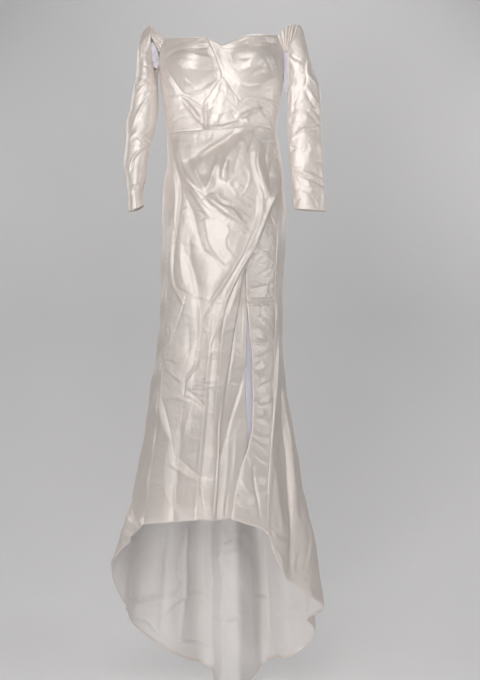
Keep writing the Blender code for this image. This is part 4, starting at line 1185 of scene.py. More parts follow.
@dataclass(frozen=True)
class LiningFinish:
    """Plain woven lining: short threads over and under each other, which leave it matte and flat.

    It is a soft white inside the dress. The lining at the slit and the underarms is a darker, cooler white,
    painted shade for those recesses.
    """

    name: str
    light: str = "#F2EEEC"
    deep: str = "#EAE7E6"
    patches: float = 9.0
    crumples: float = 60.0
    thread: float = 0.0009

    def material(self) -> bpy.types.Material:
        """Build the finish."""
        material, tree, place = new_material(self.name)
        metres = add_node(tree, "ShaderNodeUVMap", uv_map=CLOTH_MAP).outputs["UV"]
        # Threads are 0.15 mm; they are drawn at 0.9 mm, the finest that the picture can hold
        warp, weft = (
            add_node(tree, "ShaderNodeTexWave", {
                "Vector": metres, "Scale": 1 / (3 * self.thread), "Distortion": 0.4}, bands_direction=way)
            for way in ("X", "Y")
        )
        weave = add_node(tree, "ShaderNodeMath", {
            0: warp.outputs["Fac"], 1: weft.outputs["Fac"]}, operation="MULTIPLY")
        crumple = add_node(tree, "ShaderNodeTexNoise", {
            "Vector": place, "Scale": self.crumples, "Detail": 3.0})
        low = add_node(tree, "ShaderNodeBump", {
            "Height": crumple.outputs["Fac"], "Strength": 0.4, "Distance": 0.0012})
        fine = add_node(tree, "ShaderNodeBump", {
            "Height": weave.outputs[0], "Strength": 0.2, "Distance": 0.0001, "Normal": low.outputs[0]})
        fill(tree, tree.nodes["Principled BSDF"], {
            "Base Color": mottled(tree, place, (self.light, self.deep), self.patches, 3.0),
            "Normal": fine.outputs[0], "Roughness": 0.85, "Specular IOR Level": 0.25, "Sheen Weight": 0.10,
        })
        return material


@dataclass(frozen=True)
class StudioPaper:
    """Seamless studio paper: matte wood pulp with a faint mottle."""

    name: str = "pale studio paper"
    light: str = "#F1F1F2"
    deep: str = "#ECECED"
    patches: float = 2.5

    def material(self) -> bpy.types.Material:
        """Build the finish."""
        material, tree, place = new_material(self.name)
        fill(tree, tree.nodes["Principled BSDF"], {
            "Base Color": mottled(tree, place, (self.light, self.deep), self.patches, 3.0),
            "Roughness": 0.95, "Specular IOR Level": 0.1,
        })
        return material


@dataclass(frozen=True)
class Cut:
    """The flat piece that a sheet is cut from.

    Attributes:
        width: the cut's greatest width, in metres.
        length: its greatest length.
        area: its own area, less than width times length where it isn't a rectangle.
        held: how the finished sheet is held.
        rests_on: the pieces or nodes that hold it.
    """

    width: float
    length: float
    area: float
    held: str
    rests_on: tuple[str, ...]


@dataclass
class Cloth:
    """A sheet of cloth as a closed thin shell over a grid of middle points.

    Attributes:
        node: the solid that it stands for.
        points: the grid; rows go down, and columns go left to right as seen from outside.
        wall: the cloth's thickness.
        closed: whether the last column joins the first.
        name: the piece's own name, where it isn't the node's.
        hem_rows: how many of the lowest rows have the outer face's satin turned under inside.
    """

    node: str
    points: np.ndarray
    wall: float
    closed: bool = False
    name: str = ""
    hem_rows: int = 2

    @property
    def normals(self) -> np.ndarray:
        """Unit normals that point out of the dress."""
        return outward(self.points, self.closed)

    def raise_by(self, height: np.ndarray) -> None:
        """Move the cloth along its normals."""
        self.points = self.points + self.normals * height[..., None]

    def dress(self, *reliefs: DrawnCreases | Crinkles | Swell, held: tuple[Side, ...] = ()) -> None:
        """Put creases, crinkles and swells on the cloth, which fade out at the held sides."""
        normals = self.normals
        total = np.zeros(self.points.shape[:2])
        for relief in reliefs:
            if isinstance(relief, DrawnCreases):
                total += relief.height(self.points, normals)
            else:
                total += relief.height_at(self.points)
        for side in held:
            total = total * ease(side_distances(self.points, side)[0] / HELD_WIDTH)
        self.raise_by(total)

    def sew(self, *sides: Side) -> None:
        """Put seams along these sides."""
        self.raise_by(sum(Seam().height_at(*side_distances(self.points, side)) for side in sides))

    def roll(self, *sides: Side, depth: float = 0.0016, width: float = 0.006) -> None:
        """Turn these free edges under in a soft roll."""
        away = np.min([side_distances(self.points, side)[0] for side in sides], axis=0)
        self.raise_by(-depth * (1.0 - np.clip(away / width, 0.0, 1.0)) ** 2)

    def rims(self) -> list[np.ndarray]:
        """The grid's open edges, each as a closed row of point numbers."""
        rows, columns = self.points.shape[:2]
        index = np.arange(rows * columns).reshape(rows, columns)
        if self.closed:
            return [index[0, ::-1], index[-1]]
        return [np.concatenate([index[:-1, 0], index[-1, :-1], index[:0:-1, -1], index[0, :0:-1]])]

    def edge_directions(self) -> np.ndarray:
        """For each point of the grid, the unit direction that leads out over its nearest edge."""
        grid = self.points
        out = np.zeros_like(grid)
        out[0] += grid[0] - grid[1]
        out[-1] += grid[-1] - grid[-2]
        if not self.closed:
            out[:, 0] += grid[:, 0] - grid[:, 1]
            out[:, -1] += grid[:, -1] - grid[:, -2]
        return out / np.maximum(np.linalg.norm(out, axis=-1, keepdims=True), TINY)

    def shell(self) -> tuple[np.ndarray, np.ndarray, np.ndarray, np.ndarray]:
        """Work out two faces, half a wall to either side of the grid, and half-round rims.

        Returns:
            The points, the grid point of each, the faces, and 0 for a satin face or 1 for lining.
        """
        rows, columns = self.points.shape[:2]
        flat = self.points.reshape(-1, 3)
        out = self.edge_directions().reshape(-1, 3)
        normals = self.normals.reshape(-1, 3)
        half = self.wall / 2
        count = rows * columns
        index = np.arange(count).reshape(rows, columns)
        if self.closed:
            index = np.concatenate([index, index[:, :1]], axis=1)
        outer = np.stack([index[:-1, :-1], index[1:, :-1], index[1:, 1:], index[:-1, 1:]], -1).reshape(-1, 4)
        places = [flat + normals * half, flat - normals * half]
        sources = [np.arange(count), np.arange(count)]
        faces = [outer, outer[:, ::-1] + count]
        used = 2 * count
        for rim in self.rims():
            rings = [rim]
            for step in range(1, RIM_STEPS + 1):
                turn = math.pi * step / (RIM_STEPS + 1)
                places.append(flat[rim] + half * (normals[rim] * math.cos(turn) + out[rim] * math.sin(turn)))
                sources.append(rim)
                rings.append(np.arange(used, used + len(rim)))
                used += len(rim)
            rings.append(rim + count)
            for upper, lower in zip(rings[:-1], rings[1:]):
                faces.append(np.stack([np.roll(upper, -1), upper, lower, np.roll(lower, -1)], -1))
        kinds = np.zeros(sum(len(part) for part in faces), np.int32)
        hem_faces = self.hem_rows * (len(outer) // (rows - 1))
        kinds[len(outer):2 * len(outer) - hem_faces] = 1
        return np.concatenate(places), np.concatenate(sources), np.concatenate(faces), kinds

    def build(self, face: bpy.types.Material, inside: bpy.types.Material) -> bpy.types.Object:
        """Make the shell a piece, with a map of its places along the cloth in metres.

        Args:
            face: the finish of the outer face and the rims.
            inside: the finish of the inner face.

        Returns:
            The new object, which rides on the dress and stands for its solid.
        """
        places, sources, faces, kinds = self.shell()
        metres = np.stack([distance_across(self.points), -distance_down(self.points)], -1).reshape(-1, 2)
        name = self.name or self.node + "_cloth"
        mesh = bpy.data.meshes.new(name)
        mesh.vertices.add(len(places))
        mesh.vertices.foreach_set("co", places.astype(np.float32).ravel())
        mesh.loops.add(faces.size)
        mesh.loops.foreach_set("vertex_index", faces.astype(np.int32).ravel())
        mesh.polygons.add(len(faces))
        mesh.polygons.foreach_set("loop_start", np.arange(0, faces.size, 4, dtype=np.int32))
        mesh.polygons.foreach_set("material_index", kinds)
        mesh.update(calc_edges=True)
        layer = mesh.uv_layers.new(name=CLOTH_MAP)
        layer.uv.foreach_set("vector", metres[sources[faces.ravel()]].astype(np.float32).ravel())
        mesh.shade_smooth()
        mesh.materials.append(face)
        mesh.materials.append(inside)
        piece = bpy.data.objects.new(name, mesh)
        bpy.context.scene.collection.objects.link(piece)
        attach(piece, "root")
        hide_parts(self.node)
        return piece


@dataclass
class Wardrobe:
    """The finishes that the dress is made in, and the making of a finished sheet from its cloth."""

    satin: bpy.types.Material
    ruched: bpy.types.Material
    lining: bpy.types.Material
    # The lining's darker, cooler copy, painted shade for the recessed slit and underarms
    shade_painted_lining: bpy.types.Material

    def finish(
        self, cloth: Cloth, cut: Cut, slot: str = "satin", lined_only: bool = False
    ) -> bpy.types.Object:
        """Make a sheet from its cloth, in the finishes that its slot picks.

        Args:
            cloth: the shaped cloth.
            cut: its flat cut; not used.
            slot: the record's material slot.
            lined_only: whether it is lining on both faces, in the darker, cooler copy that paints shade.

        Returns:
            The finished piece.
        """
        face = self.ruched if slot == "ruched_satin" else self.satin
        inside = self.lining
        # Lining on both faces takes the darker copy, painted shade of a recess
        if lined_only:
            face = inside = self.shade_painted_lining
        piece = cloth.build(face, inside)
        logging.info("%s: %d faces", piece.name, len(piece.data.polygons))
        return piece


@dataclass
class Bodice:
    """Two padded cups, the midriff below them and the two halves of the back.

    Attributes:
        lap: how far the left cup is lifted and the right one sunk where they cross.
        lap_over: the widths over which they are.
        armholes: the cups' armhole edges, once they are built, for the straps.
    """

    wardrobe: Wardrobe
    cup_steps: tuple[int, int] = (90, 90)
    midriff_steps: tuple[int, int] = (170, 50)
    back_steps: tuple[int, int] = (72, 64)
    crowd: float = 0.25
    span: float = 3.0
    lap: float = 0.0014
    lap_over: tuple[float, float] = (0.02, 0.008)
    armholes: dict[Side, np.ndarray] = field(default_factory=dict)

    def panel(
        self, node: str, left: Rows, right: Rows, top: Rows, bottom: Rows, steps: tuple[int, int]
    ) -> Cloth:
        """A smooth panel of the bodice between its four edges."""
        across, down = (edge_fractions(count, self.crowd) for count in steps)
        grid = panel_grid(left, right, top, bottom, across, down, self.span)
        return Cloth(node, body_points(*grid, 0.0, MIDRIFF_FOLDS), BODICE_WALL)

    def cup(self, side: Side, left: Rows, right: Rows, neckline: Rows, creases: tuple, seed: int) -> Cloth:
        """A cup, sewn at its armhole's side and under the bust."""
        cup = self.panel("cup_" + side.value, left, right, neckline, UNDER_BUST, self.cup_steps)
        armhole = 0 if side is Side.LEFT else -1
        self.armholes[side] = cup.points[:self.cup_steps[1] // 4, armhole]
        cup.dress(DrawnCreases(creases), Crinkles(seed, 0.020, 0.0009), held=(side, Side.BOTTOM))
        cup.sew(side, Side.BOTTOM)
        return cup

    def back_half(self, node: str, left: Rows, right: Rows, top: Rows, seed: int, cut: Cut) -> None:
        """Make a half of the back, sewn on all sides but the top."""
        sewn = (Side.LEFT, Side.RIGHT, Side.BOTTOM)
        back = self.panel(node, left, right, top, WAIST_SEAM, self.back_steps)
        back.dress(DrawnCreases(BODICE_BACK_CREASES, Facing.BACK), Crinkles(seed, 0.024, 0.0008), held=sewn)
        back.sew(*sewn)
        back.roll(Side.TOP)
        self.wardrobe.finish(back, cut)

    def build(self) -> None:
        """Make the five panels; the left cup laps over the right one along the surplice edge."""
        cup = self.cup(Side.LEFT, ARMHOLE_LEFT, SURPLICE_EDGE, NECKLINE_LEFT, CUP_LEFT_CREASES, 11)
        cup.roll(Side.TOP, Side.RIGHT)
        away = side_distances(cup.points, Side.RIGHT)[0]
        cup.raise_by(self.lap * ease(1.0 - away / self.lap_over[0]))
        self.wardrobe.finish(cup, Cut(0.20, 0.20, 0.031, "stretched", ("midriff_front", "strap_left")))

        cup = self.cup(Side.RIGHT, SURPLICE_EDGE, ARMHOLE_RIGHT, NECKLINE_RIGHT, CUP_RIGHT_CREASES, 12)
        cup.roll(Side.TOP)
        away = side_distances(cup.points, Side.LEFT)[0]
        cup.raise_by(-self.lap * ease(1.0 - away / self.lap_over[1]))
        self.wardrobe.finish(cup, Cut(0.22, 0.20, 0.035, "stretched", ("midriff_front", "strap_right")))

        midriff = self.panel(
            "midriff_front", LEFT_SIDE, RIGHT_SIDE, UNDER_BUST, WAIST_SEAM, self.midriff_steps
        )
        midriff.dress(DrawnCreases(MIDRIFF_CREASES, share=0.7), Crinkles(13, 0.018, 0.0009), held=tuple(Side))
        midriff.sew(*Side)
        self.wardrobe.finish(midriff, Cut(0.40, 0.15, 0.035, "stretched", ("cup_left", "cup_right")))

        self.back_half(
            "bodice_back_left", CENTRE_BACK_LEFT, LEFT_SIDE, BACK_TOP, 14,
            Cut(0.24, 0.27, 0.047, "stretched", ("cup_left", "midriff_front")),
        )
        self.back_half(
            "bodice_back_right", RIGHT_SIDE, CENTRE_BACK, BACK_TOP_RIGHT, 15,
            Cut(0.24, 0.27, 0.046, "stretched", ("cup_right", "midriff_front")),
        )


@dataclass
class Skirt:
    """The draped overlay, the underlap, the panel right of the slit and the back with its train.

    Attributes:
        lift_from: the angle and the height where the overlay starts to lift off.
        lift_over: the angle and the height over which it does.
        right_start: the share of the right front that the overlay hides.
        lining_drop: how far the slit's lining lies behind the underlap.
    """

    wardrobe: Wardrobe
    overlay_steps: tuple[int, int] = (148, 315)
    right_steps: tuple[int, int] = (50, 300)
    underlap_steps: tuple[int, int] = (40, 220)
    lining_steps: tuple[int, int] = (14, 220)
    back_steps: tuple[int, int] = (150, 260)
    crowd: float = 0.15
    span: float = 5.0
    lift_from: tuple[float, float] = (42.0, -0.33)
    lift_over: tuple[float, float] = (38.0, 0.10)
    right_start: float = 0.129
    underlap_top: Rows = ((60.0, -0.64), (130.0, -0.64))
    lining_left: Rows = ((-1.382, 98.0), (-1.195, 106.0), (-1.06, 110.5), (-0.788, 112.5), (-0.64, 112.0))
    lining_hem: Rows = ((60.0, -1.24), (130.0, -1.24))
    lining_drop: float = 0.0018

    def rows(self, steps: int, start: float = 0.0) -> np.ndarray:
        """Fractions of the way down, closer together at the hip, from the start."""
        even = np.linspace(0.0, 1.0, steps + 1)
        return start + (1.0 - start) * np.interp(even, (0.0, 0.42, 1.0), (0.0, 0.36, 1.0))

    def overlay(self) -> None:
        """Make the draped front, which lifts off the layer below towards the wrap edge."""
        across = edge_fractions(self.overlay_steps[0], self.crowd)
        down = self.rows(self.overlay_steps[1])
        angles, heights = panel_grid(LEFT_SEAM, WRAP_EDGE, WAIST_SEAM, SKIRT_HEM, across, down, self.span)
        lift = OVERLAY_LIFT * ease((angles - self.lift_from[0]) / self.lift_over[0])
        lift = lift * ease((self.lift_from[1] - heights) / self.lift_over[1])
        overlay = Cloth("skirt_overlay", body_points(angles, heights, lift, DRAPE), SKIRT_WALL)
        overlay.dress(
            DrawnCreases(OVERLAY_CREASES, share=0.6), Crinkles(21, 0.024, 0.0008), Swell(22, 0.0016, 0.14),
            held=(Side.LEFT, Side.TOP),
        )
        overlay.sew(Side.LEFT, Side.TOP)
        overlay.roll(Side.RIGHT, depth=0.0026, width=0.012)
        overlay.roll(Side.BOTTOM)
        self.wardrobe.finish(overlay, Cut(0.48, 1.18, 0.31, "draped", ("midriff_front", "skirt_back_left")))

    def right_front(self) -> None:
        """Make the panel right of the slit, from where the overlay no longer hides it."""
        across = edge_fractions(self.right_steps[0], self.crowd)
        down = self.rows(self.right_steps[1], self.right_start)
        grid = panel_grid(SLIT_EDGE, RIGHT_SEAM, WAIST_SEAM, SKIRT_HEM, across, down, self.span)
        front = Cloth("skirt_front_right", body_points(*grid, 0.0, DRAPE), SKIRT_WALL)
        front.dress(
            DrawnCreases(RIGHT_FRONT_CREASES, share=0.65), Crinkles(23, 0.018, 0.0007),
            Swell(24, 0.0014, 0.09), held=(Side.RIGHT,),
        )
        front.sew(Side.RIGHT)
        front.roll(Side.LEFT, Side.BOTTOM)
        self.wardrobe.finish(front, Cut(0.13, 1.02, 0.076, "hung", ("skirt_overlay", "skirt_back_right")))

    def underlap(self) -> None:
        """Make the layer behind the overlay's cut edge, and the lining that shows in the slit."""
        across, down = (np.linspace(0.0, 1.0, count + 1) for count in self.underlap_steps)
        grid = panel_grid(
            UNDERLAP_LEFT, UNDERLAP_FOLD, self.underlap_top, SKIRT_HEM, across, down, self.span
        )
        underlap = Cloth("skirt_underlap", body_points(*grid, -UNDERLAP_DROP, DRAPE), SKIRT_WALL)
        underlap.dress(DrawnCreases(UNDERLAP_CREASES), Crinkles(25), Swell(26, 0.0012))
        underlap.roll(Side.RIGHT, Side.BOTTOM)
        self.wardrobe.finish(underlap, Cut(0.13, 0.76, 0.067, "hung", ("skirt_front_right",)))

        across, down = (np.linspace(0.0, 1.0, count + 1) for count in self.lining_steps)
        grid = panel_grid(
            self.lining_left, UNDERLAP_RIGHT, self.underlap_top, self.lining_hem, across, down, self.span
        )
        points = body_points(*grid, -UNDERLAP_DROP - self.lining_drop, DRAPE)
        strip = Cloth("skirt_underlap", points, LINING_WALL, name="slit_lining_cloth")
        strip.dress(Crinkles(27, 0.020, 0.0008), Swell(28, 0.0010))
        cut = Cut(0.05, 0.58, 0.018, "hung", ("skirt_underlap", "skirt_front_right"))
        # The slit's strip is in the darker, cooler lining, painted shade for the recess
        self.wardrobe.finish(strip, cut, lined_only=True)

    def back_half(
        self, node: str, left: Rows, right: Rows, across: np.ndarray, creases: tuple, seed: int, cut: Cut
    ) -> None:
        """Make a half of the back and train, sewn on all sides but the hem."""
        sewn = (Side.LEFT, Side.RIGHT, Side.TOP)
        even = np.linspace(0.0, 1.0, self.back_steps[1] + 1)
        down = np.interp(even, (0.0, 0.385, 1.0), (0.0, 0.58, 1.0))
        grid = panel_grid(left, right, WAIST_SEAM, SKIRT_HEM, across, down, self.span)
        back = Cloth(node, body_points(*grid, 0.0, ()), SKIRT_WALL)
        back.dress(
            DrawnCreases(LINING_CREASES, Facing.BACK), DrawnCreases(creases, Facing.ALL),
            DrawnCreases(SKIRT_BACK_CREASES, Facing.BACK), Crinkles(seed), Swell(seed + 1, 0.0040, 0.13),
            held=sewn,
        )
        back.sew(*sewn)
        back.roll(Side.BOTTOM)
        self.wardrobe.finish(back, cut)

    def build(self) -> None:
        """Make the five panels; the columns of the back lie closer together behind."""
        self.overlay()
        self.right_front()
        self.underlap()
        across = edge_fractions(self.back_steps[0], self.crowd)
        across = np.interp(across, (0.0, 0.35, 1.0), (0.0, 0.24, 1.0))
        self.back_half(
            "skirt_back_left", CENTRE_BACK_LEFT, LEFT_SEAM, across, SIDE_LEFT_CREASES, 31,
            Cut(0.86, 1.70, 0.61, "hung", ("bodice_back_left", "skirt_overlay")),
        )
        self.back_half(
            "skirt_back_right", RIGHT_SEAM, CENTRE_BACK, 1.0 - across[::-1], SIDE_RIGHT_CREASES, 33,
            Cut(0.88, 1.70, 0.65, "hung", ("bodice_back_right", "skirt_front_right")),
        )


@dataclass
class Sleeve:
    """A long sleeve from its slanted top ring to its open cuff.

    Attributes:
        side: -1 for the left sleeve and 1 for the right.
        ring: the front and outer part of its top ring.
        join_angles: where its last quarter is sewn to the back of the bodice.
        creases: its creases, in front and, a little lower, behind.
        front_share: how much closer together the columns lie in front.
        top_share: the power that brings the rows closer together at the top.
        sewn_reach: how far down the sewn quarter holds the sleeve.
        head_fade: the length from the top ring over which its creases start.
        top_line: the top ring's line, once it is built, for the strap.
    """

    wardrobe: Wardrobe
    node: str
    side: int
    sections: Rows
    ring: Rows
    join_angles: tuple[float, ...]
    back_top: Rows
    cuff: Rows
    creases: tuple
    cut: Cut
    seed: int
    ring_count: int = 16
    columns: int = 84
    rows: int = 218
    front_share: float = 0.4
    top_share: float = 1.15
    section_span: float = 0.02
    cuff_span: float = 20.0
    sewn_reach: float = 0.04
    head_fade: float = 0.03
    top_line: np.ndarray | None = None

    def top_ring(self) -> np.ndarray:
        """The ring's points and reaches, with its sewn quarter laid along the bodice back."""
        angles = np.array(self.join_angles)
        heights = read_table(self.back_top, 1, angles, 0.1) + JOIN_RISE
        seam = body_points(angles, heights, JOIN_LIFT, ())
        drawn = np.array(self.ring)
        count = self.ring_count - len(drawn)
        sewn = along_line(seam, np.linspace(0.0, 1.0, count))
        return np.concatenate([drawn, np.concatenate([sewn, np.full((count, 1), self.sewn_reach)], axis=1)])

    def section_at(self, heights: np.ndarray, turn: np.ndarray) -> tuple[np.ndarray, np.ndarray]:
        """Where points lie across and from front to back: on an ellipse at each height."""
        inner, outer, half_depth, middle = (
            read_table(self.sections, k, heights, self.section_span) for k in (1, 2, 3, 4)
        )
        half = (outer - inner) / 2
        x = self.side * ((outer + inner) / 2 - half * np.cos(turn))
        return x, middle - half_depth * np.sin(turn)

    def build(self) -> None:
        """Make the sleeve: its sections, drawn to the top ring over the ring's reach."""
        share = np.arange(self.columns) / self.columns
        bunched = share + self.front_share * np.cos(2.0 * np.pi * share) / (2.0 * np.pi)
        places = (bunched % 1.0) * self.ring_count
        ring = self.top_ring()
        self.top_line = ring[:, :3]
        top = through(ring, places, closed=True)
        angles = places * 360.0 / self.ring_count
        turn = np.radians(angles)
        cuff = read_table(self.cuff, 1, angles, self.cuff_span)
        down = (np.linspace(0.0, 1.0, self.rows + 1) ** self.top_share)[:, None]
        heights = top[:, 2] + (cuff - top[:, 2]) * down
        x, y = self.section_at(heights, turn)
        top_x, top_y = self.section_at(top[:, 2], turn)
        hold = 1.0 - ease((top[:, 2] - heights) / top[:, 3])
        x = x + (top[:, 0] - top_x) * hold
        y = y + (top[:, 1] - top_y) * hold
        points = np.stack([x, y, heights], axis=-1)
        if self.side < 0:
            points = points[:, ::-1]
        cloth = Cloth(self.node, points, SLEEVE_WALL, closed=True)
        fade = ease(distance_down(points) / self.head_fade)
        cloth.dress(
            DrawnCreases(self.creases, Facing.FRONT), DrawnCreases(self.creases, Facing.BACK, 0.8),
            Crinkles(self.seed, 0.020, 0.0009), Swell(self.seed + 1, 0.0012, 0.06),
        )
        cloth.points = points + (cloth.points - points) * fade[..., None]
        self.wardrobe.finish(cloth, self.cut)


@dataclass
class Strap:
    """A ruched fan of satin over elastic, from a cup's armhole edge to its sleeve's peak.

    Attributes:
        side: -1 for the left strap and 1 for the right.
        edge: the armhole edge that it is sewn to.
        peak: the line at the sleeve's peak that it is gathered to.
        step_in: how far it stops before that line.
        rise: how far its upper edge bows up.
        slant: 1 where its ridges run from edge to peak, 0 where they run across.
        puff: how far its middle stands out.
    """

    wardrobe: Wardrobe
    node: str
    side: int
    edge: np.ndarray
    peak: np.ndarray
    step_in: float
    rise: float
    slant: float
    cut: Cut
    steps: tuple[int, int] = (80, 56)
    gap: float = 0.0006
    puff: float = 0.003
    ridges: float = 5.5
    ridge: float = 0.0022

    def build(self) -> None:
        """Make the strap: straight from edge to peak, with two waves of ridges of changing phase."""
        across = np.linspace(0.0, 1.0, self.steps[0] + 1)
        along = np.linspace(0.0, 1.0, self.steps[1] + 1)[:, None]
        seam = along_line(self.edge, across)
        peak = along_line(self.peak, across)
        seam[:, 0] = seam[:, 0] + self.side * (BODICE_WALL / 2 + self.gap)
        step = seam - peak
        peak = peak + step / np.linalg.norm(step, axis=-1, keepdims=True) * self.step_in
        points = seam + (peak - seam) * along[..., None]
        bulge = np.sin(math.pi * along)
        place = self.slant * across + (1.0 - self.slant) * along
        other = (1.0 - self.slant) * across + self.slant * along
        phase = 2.0 * math.pi * self.ridges * (place + 0.018 * np.sin(7.0 * other + 9.0 * place))
        ripple = 0.75 * np.sin(phase) + 0.35 * np.sin(0.47 * phase + 2.0 * other + 1.0)
        points[..., 1] = points[..., 1] - bulge * self.puff - self.ridge * ripple * bulge**0.4
        points[..., 2] = points[..., 2] + self.rise * bulge * (1.0 - across) ** 1.5
        if self.side > 0:
            points = points[:, ::-1]
        self.wardrobe.finish(Cloth(self.node, points, SLEEVE_WALL), self.cut, "ruched_satin")


@dataclass
class ArmholeFacing:
    """The lining that shows, crumpled, between a sleeve's inner edge and the bodice.

    Attributes:
        line: for each height the strip's two edges and how far back each of them lies.
        bow: how far its middle stands out.
        lengths: the shortest and the longest wave of its crumples.
    """

    wardrobe: Wardrobe
    node: str
    name: str
    line: Rows
    cut: Cut
    seed: int
    steps: tuple[int, int] = (14, 90)
    span: float = 0.01
    bow: float = 0.002
    crumple: float = 0.0022
    waves: int = 5
    lengths: tuple[float, float] = (0.010, 0.034)

    def build(self) -> None:
        """Make the strip: straight across between its edges, crumpled by slanting waves."""
        heights = np.linspace(self.line[0][0], self.line[-1][0], self.steps[1] + 1)
        left, right, left_back, right_back = (
            read_table(self.line, k, heights, self.span)[:, None] for k in (1, 2, 3, 4)
        )
        across = np.linspace(0.0, 1.0, self.steps[0] + 1)
        x = left + (right - left) * across
        z = np.repeat(heights[:, None], self.steps[0] + 1, axis=1)
        rng = np.random.default_rng(self.seed)
        slants = rng.uniform(-1.2, 1.2, self.waves)
        lengths = rng.uniform(*self.lengths, self.waves)
        phases = rng.uniform(0.0, 1.0, self.waves)
        waves = sum(
            np.sin(2.0 * math.pi * ((z + slant * (x - left)) / length + phase))
            for slant, length, phase in zip(slants, lengths, phases)
        )
        bulge = np.sin(math.pi * across)
        y = left_back + (right_back - left_back) * across
        y = y - self.bow * bulge - self.crumple * waves / 3.0 * bulge
        cloth = Cloth(self.node, np.stack([x, y, z], axis=-1), LINING_WALL, name=self.name)
        # The facing is in the darker, cooler lining, painted shade for the underarm recess
        self.wardrobe.finish(cloth, self.cut, lined_only=True)


@dataclass(frozen=True)
class Lamp:
    """A square soft lamp of nearly white light that faces the dress.

    Attributes:
        size: the length of its side.
        power: its power in watts.
        aim_height: the height on the dress that it is turned to.
        spread: the angle of its beam in degrees, which a honeycomb grid makes narrower.
    """

    name: str
    place: tuple[float, float, float]
    size: float
    power: float
    aim_height: float = -0.85
    spread: float = 180.0
    tint: str = "#FFFDFB"
    aim_across: float = 0.02

    def hang(self) -> None:
        """Hang the lamp and turn it to the dress."""
        light = bpy.data.lights.new(self.name, "AREA")
        light.size = self.size
        light.energy = self.power
        light.spread = math.radians(self.spread)
        light.color = linear(self.tint)[:3]
        holder = bpy.data.objects.new(self.name, light)
        holder.location = self.place
        aim = np.array([self.aim_across, 0.0, self.aim_height]) - np.array(self.place)
        across = math.atan2(aim[1], aim[0]) - math.pi / 2
        up = math.atan2(aim[2], math.hypot(aim[0], aim[1]))
        holder.rotation_euler = (math.pi / 2 + up, 0.0, across)
        bpy.context.scene.collection.objects.link(holder)


@dataclass(frozen=True)
class Studio:
    """A pale paper sweep under broad soft lamps.

    The key lamp and the upper lamp stand in front. Two lamps with narrow grids light the lower
    bodice and the train from there, and the others light the sides, the back and the room.
    """

    floor_height: float = -1.985
    reach: float = 5.0
    bend: float = 1.2
    back: float = 2.4
    surroundings: str = "#EFF0F3"
    ambience: float = 0.10
    lamps: tuple[Lamp, ...] = (
        Lamp("key_lamp", (-0.7, -2.6, -0.05), 1.3, 19.0),
        Lamp("upper_lamp", (0.0, -2.4, 1.05), 1.1, 14.0),
        Lamp("bodice_lamp", (-0.6, -2.3, -0.85), 1.0, 0.85, aim_height=-0.10, spread=36.0),
        Lamp("train_lamp", (-0.9, -2.2, -1.90), 0.6, 0.90, aim_height=-1.75, spread=36.0),
        Lamp("left_lamp", (-2.2, -1.7, -0.2), 0.7, 5.0),
        Lamp("right_lamp", (2.3, -1.6, -0.3), 0.7, 10.0),
        Lamp("back_left_lamp", (-2.4, 1.4, 0.4), 1.4, 14.0),
        Lamp("back_right_lamp", (2.4, 1.6, 0.4), 1.4, 14.0),
        Lamp("room_lamp", (0.2, 1.1, 2.6), 2.0, 32.0),
    )

    def sweep(self) -> None:
        """The paper: level below the dress, then up behind it in a quarter circle."""
        turn = np.linspace(0.0, math.pi / 2, 25)
        bend_y = self.back - self.bend + self.bend * np.sin(turn)
        bend_z = self.floor_height + self.bend * (1.0 - np.cos(turn))
        line_y = np.concatenate([[-self.reach], bend_y, [self.back]])
        line_z = np.concatenate([[self.floor_height], bend_z, [self.reach]])
        left = np.stack([np.full_like(line_y, -self.reach), line_y, line_z], -1)
        right = left * (-1.0, 1.0, 1.0)
        count = len(line_y)
        faces = [(k, k + count, k + count + 1, k + 1) for k in range(count - 1)]
        mesh = bpy.data.meshes.new("paper_sweep")
        mesh.from_pydata(np.concatenate([left, right]).tolist(), [], faces)
        mesh.shade_smooth()
        mesh.materials.append(StudioPaper().material())
        sweep = bpy.data.objects.new("paper_sweep", mesh)
        bpy.context.scene.collection.objects.link(sweep)

    def build(self) -> None:
        """Set the paper, the lamps and the pale surroundings."""
        self.sweep()
        for lamp in self.lamps:
            lamp.hang()
        world = bpy.data.worlds.new("pale_room")
        world.use_nodes = True
        ground = world.node_tree.nodes["Background"]
        ground.inputs["Color"].default_value = linear(self.surroundings)
        ground.inputs["Strength"].default_value = self.ambience
        bpy.context.scene.world = world
        bpy.context.scene.view_settings.view_transform = "Standard"


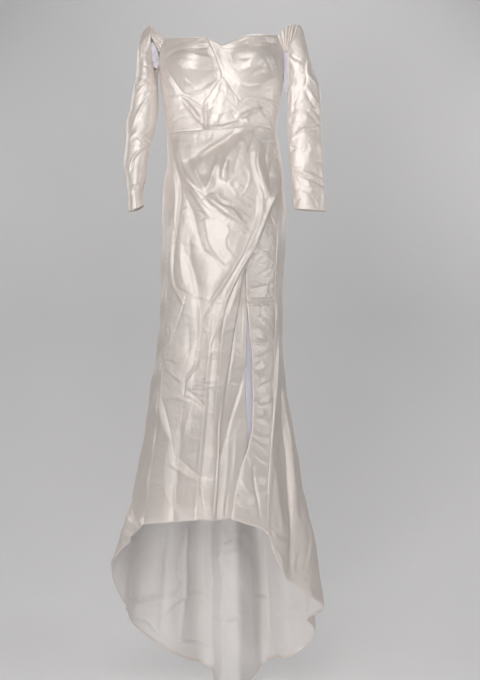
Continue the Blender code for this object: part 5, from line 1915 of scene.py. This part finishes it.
def main() -> None:
    """Build the dress and its studio, piece by piece."""
    logging.basicConfig(level=logging.INFO, format="%(message)s")
    VIEW.add_camera()
    wardrobe = Wardrobe(
        SatinFinish("ivory satin").material(),
        SatinFinish("ruched ivory satin", roughness=0.46, crumple=0.006).material(),
        LiningFinish("matte white lining").material(),
        # A darker, cooler copy of the lining: painted shade for the recessed slit and underarms
        LiningFinish("white lining in painted shade", light="#E3E0E9", deep="#DBD8E2").material(),
    )
    bodice = Bodice(wardrobe)
    bodice.build()
    Skirt(wardrobe).build()
    left = Sleeve(
        wardrobe, "sleeve_left", -1, LEFT_SLEEVE, LEFT_RING, LEFT_JOIN_ANGLES, BACK_TOP, LEFT_CUFF,
        LEFT_SLEEVE_CREASES, Cut(0.26, 0.55, 0.108, "hung", ("strap_left", "bodice_back_left")), 41,
    )
    left.build()
    right = Sleeve(
        wardrobe, "sleeve_right", 1, RIGHT_SLEEVE, RIGHT_RING, RIGHT_JOIN_ANGLES, BACK_TOP_RIGHT, RIGHT_CUFF,
        RIGHT_SLEEVE_CREASES, Cut(0.26, 0.55, 0.108, "hung", ("strap_right", "bodice_back_right")), 43,
    )
    right.build()
    # The straps end on the points 6 to 8 of the left sleeve's ring and 3 to 7 of the right one's
    Strap(
        wardrobe, "strap_left", -1, bodice.armholes[Side.LEFT], left.top_line[6:9][::-1], 0.0036, 0.001,
        1.0, Cut(0.09, 0.06, 0.0030, "gathered", ("cup_left", "sleeve_left")),
    ).build()
    Strap(
        wardrobe, "strap_right", 1, bodice.armholes[Side.RIGHT], right.top_line[3:8][::-1], 0.0021, 0.012,
        0.0, Cut(0.12, 0.08, 0.0045, "gathered", ("cup_right", "sleeve_right")),
    ).build()
    ArmholeFacing(
        wardrobe, "sleeve_left", "armhole_facing_left_cloth", LEFT_FACING,
        Cut(0.02, 0.09, 0.0013, "gathered", ("sleeve_left", "cup_left")), 51,
    ).build()
    ArmholeFacing(
        wardrobe, "sleeve_right", "armhole_facing_right_cloth", RIGHT_FACING,
        Cut(0.02, 0.15, 0.0019, "gathered", ("sleeve_right", "cup_right")), 53,
    ).build()
    Studio().build()


if __name__ == "__main__":
    main()
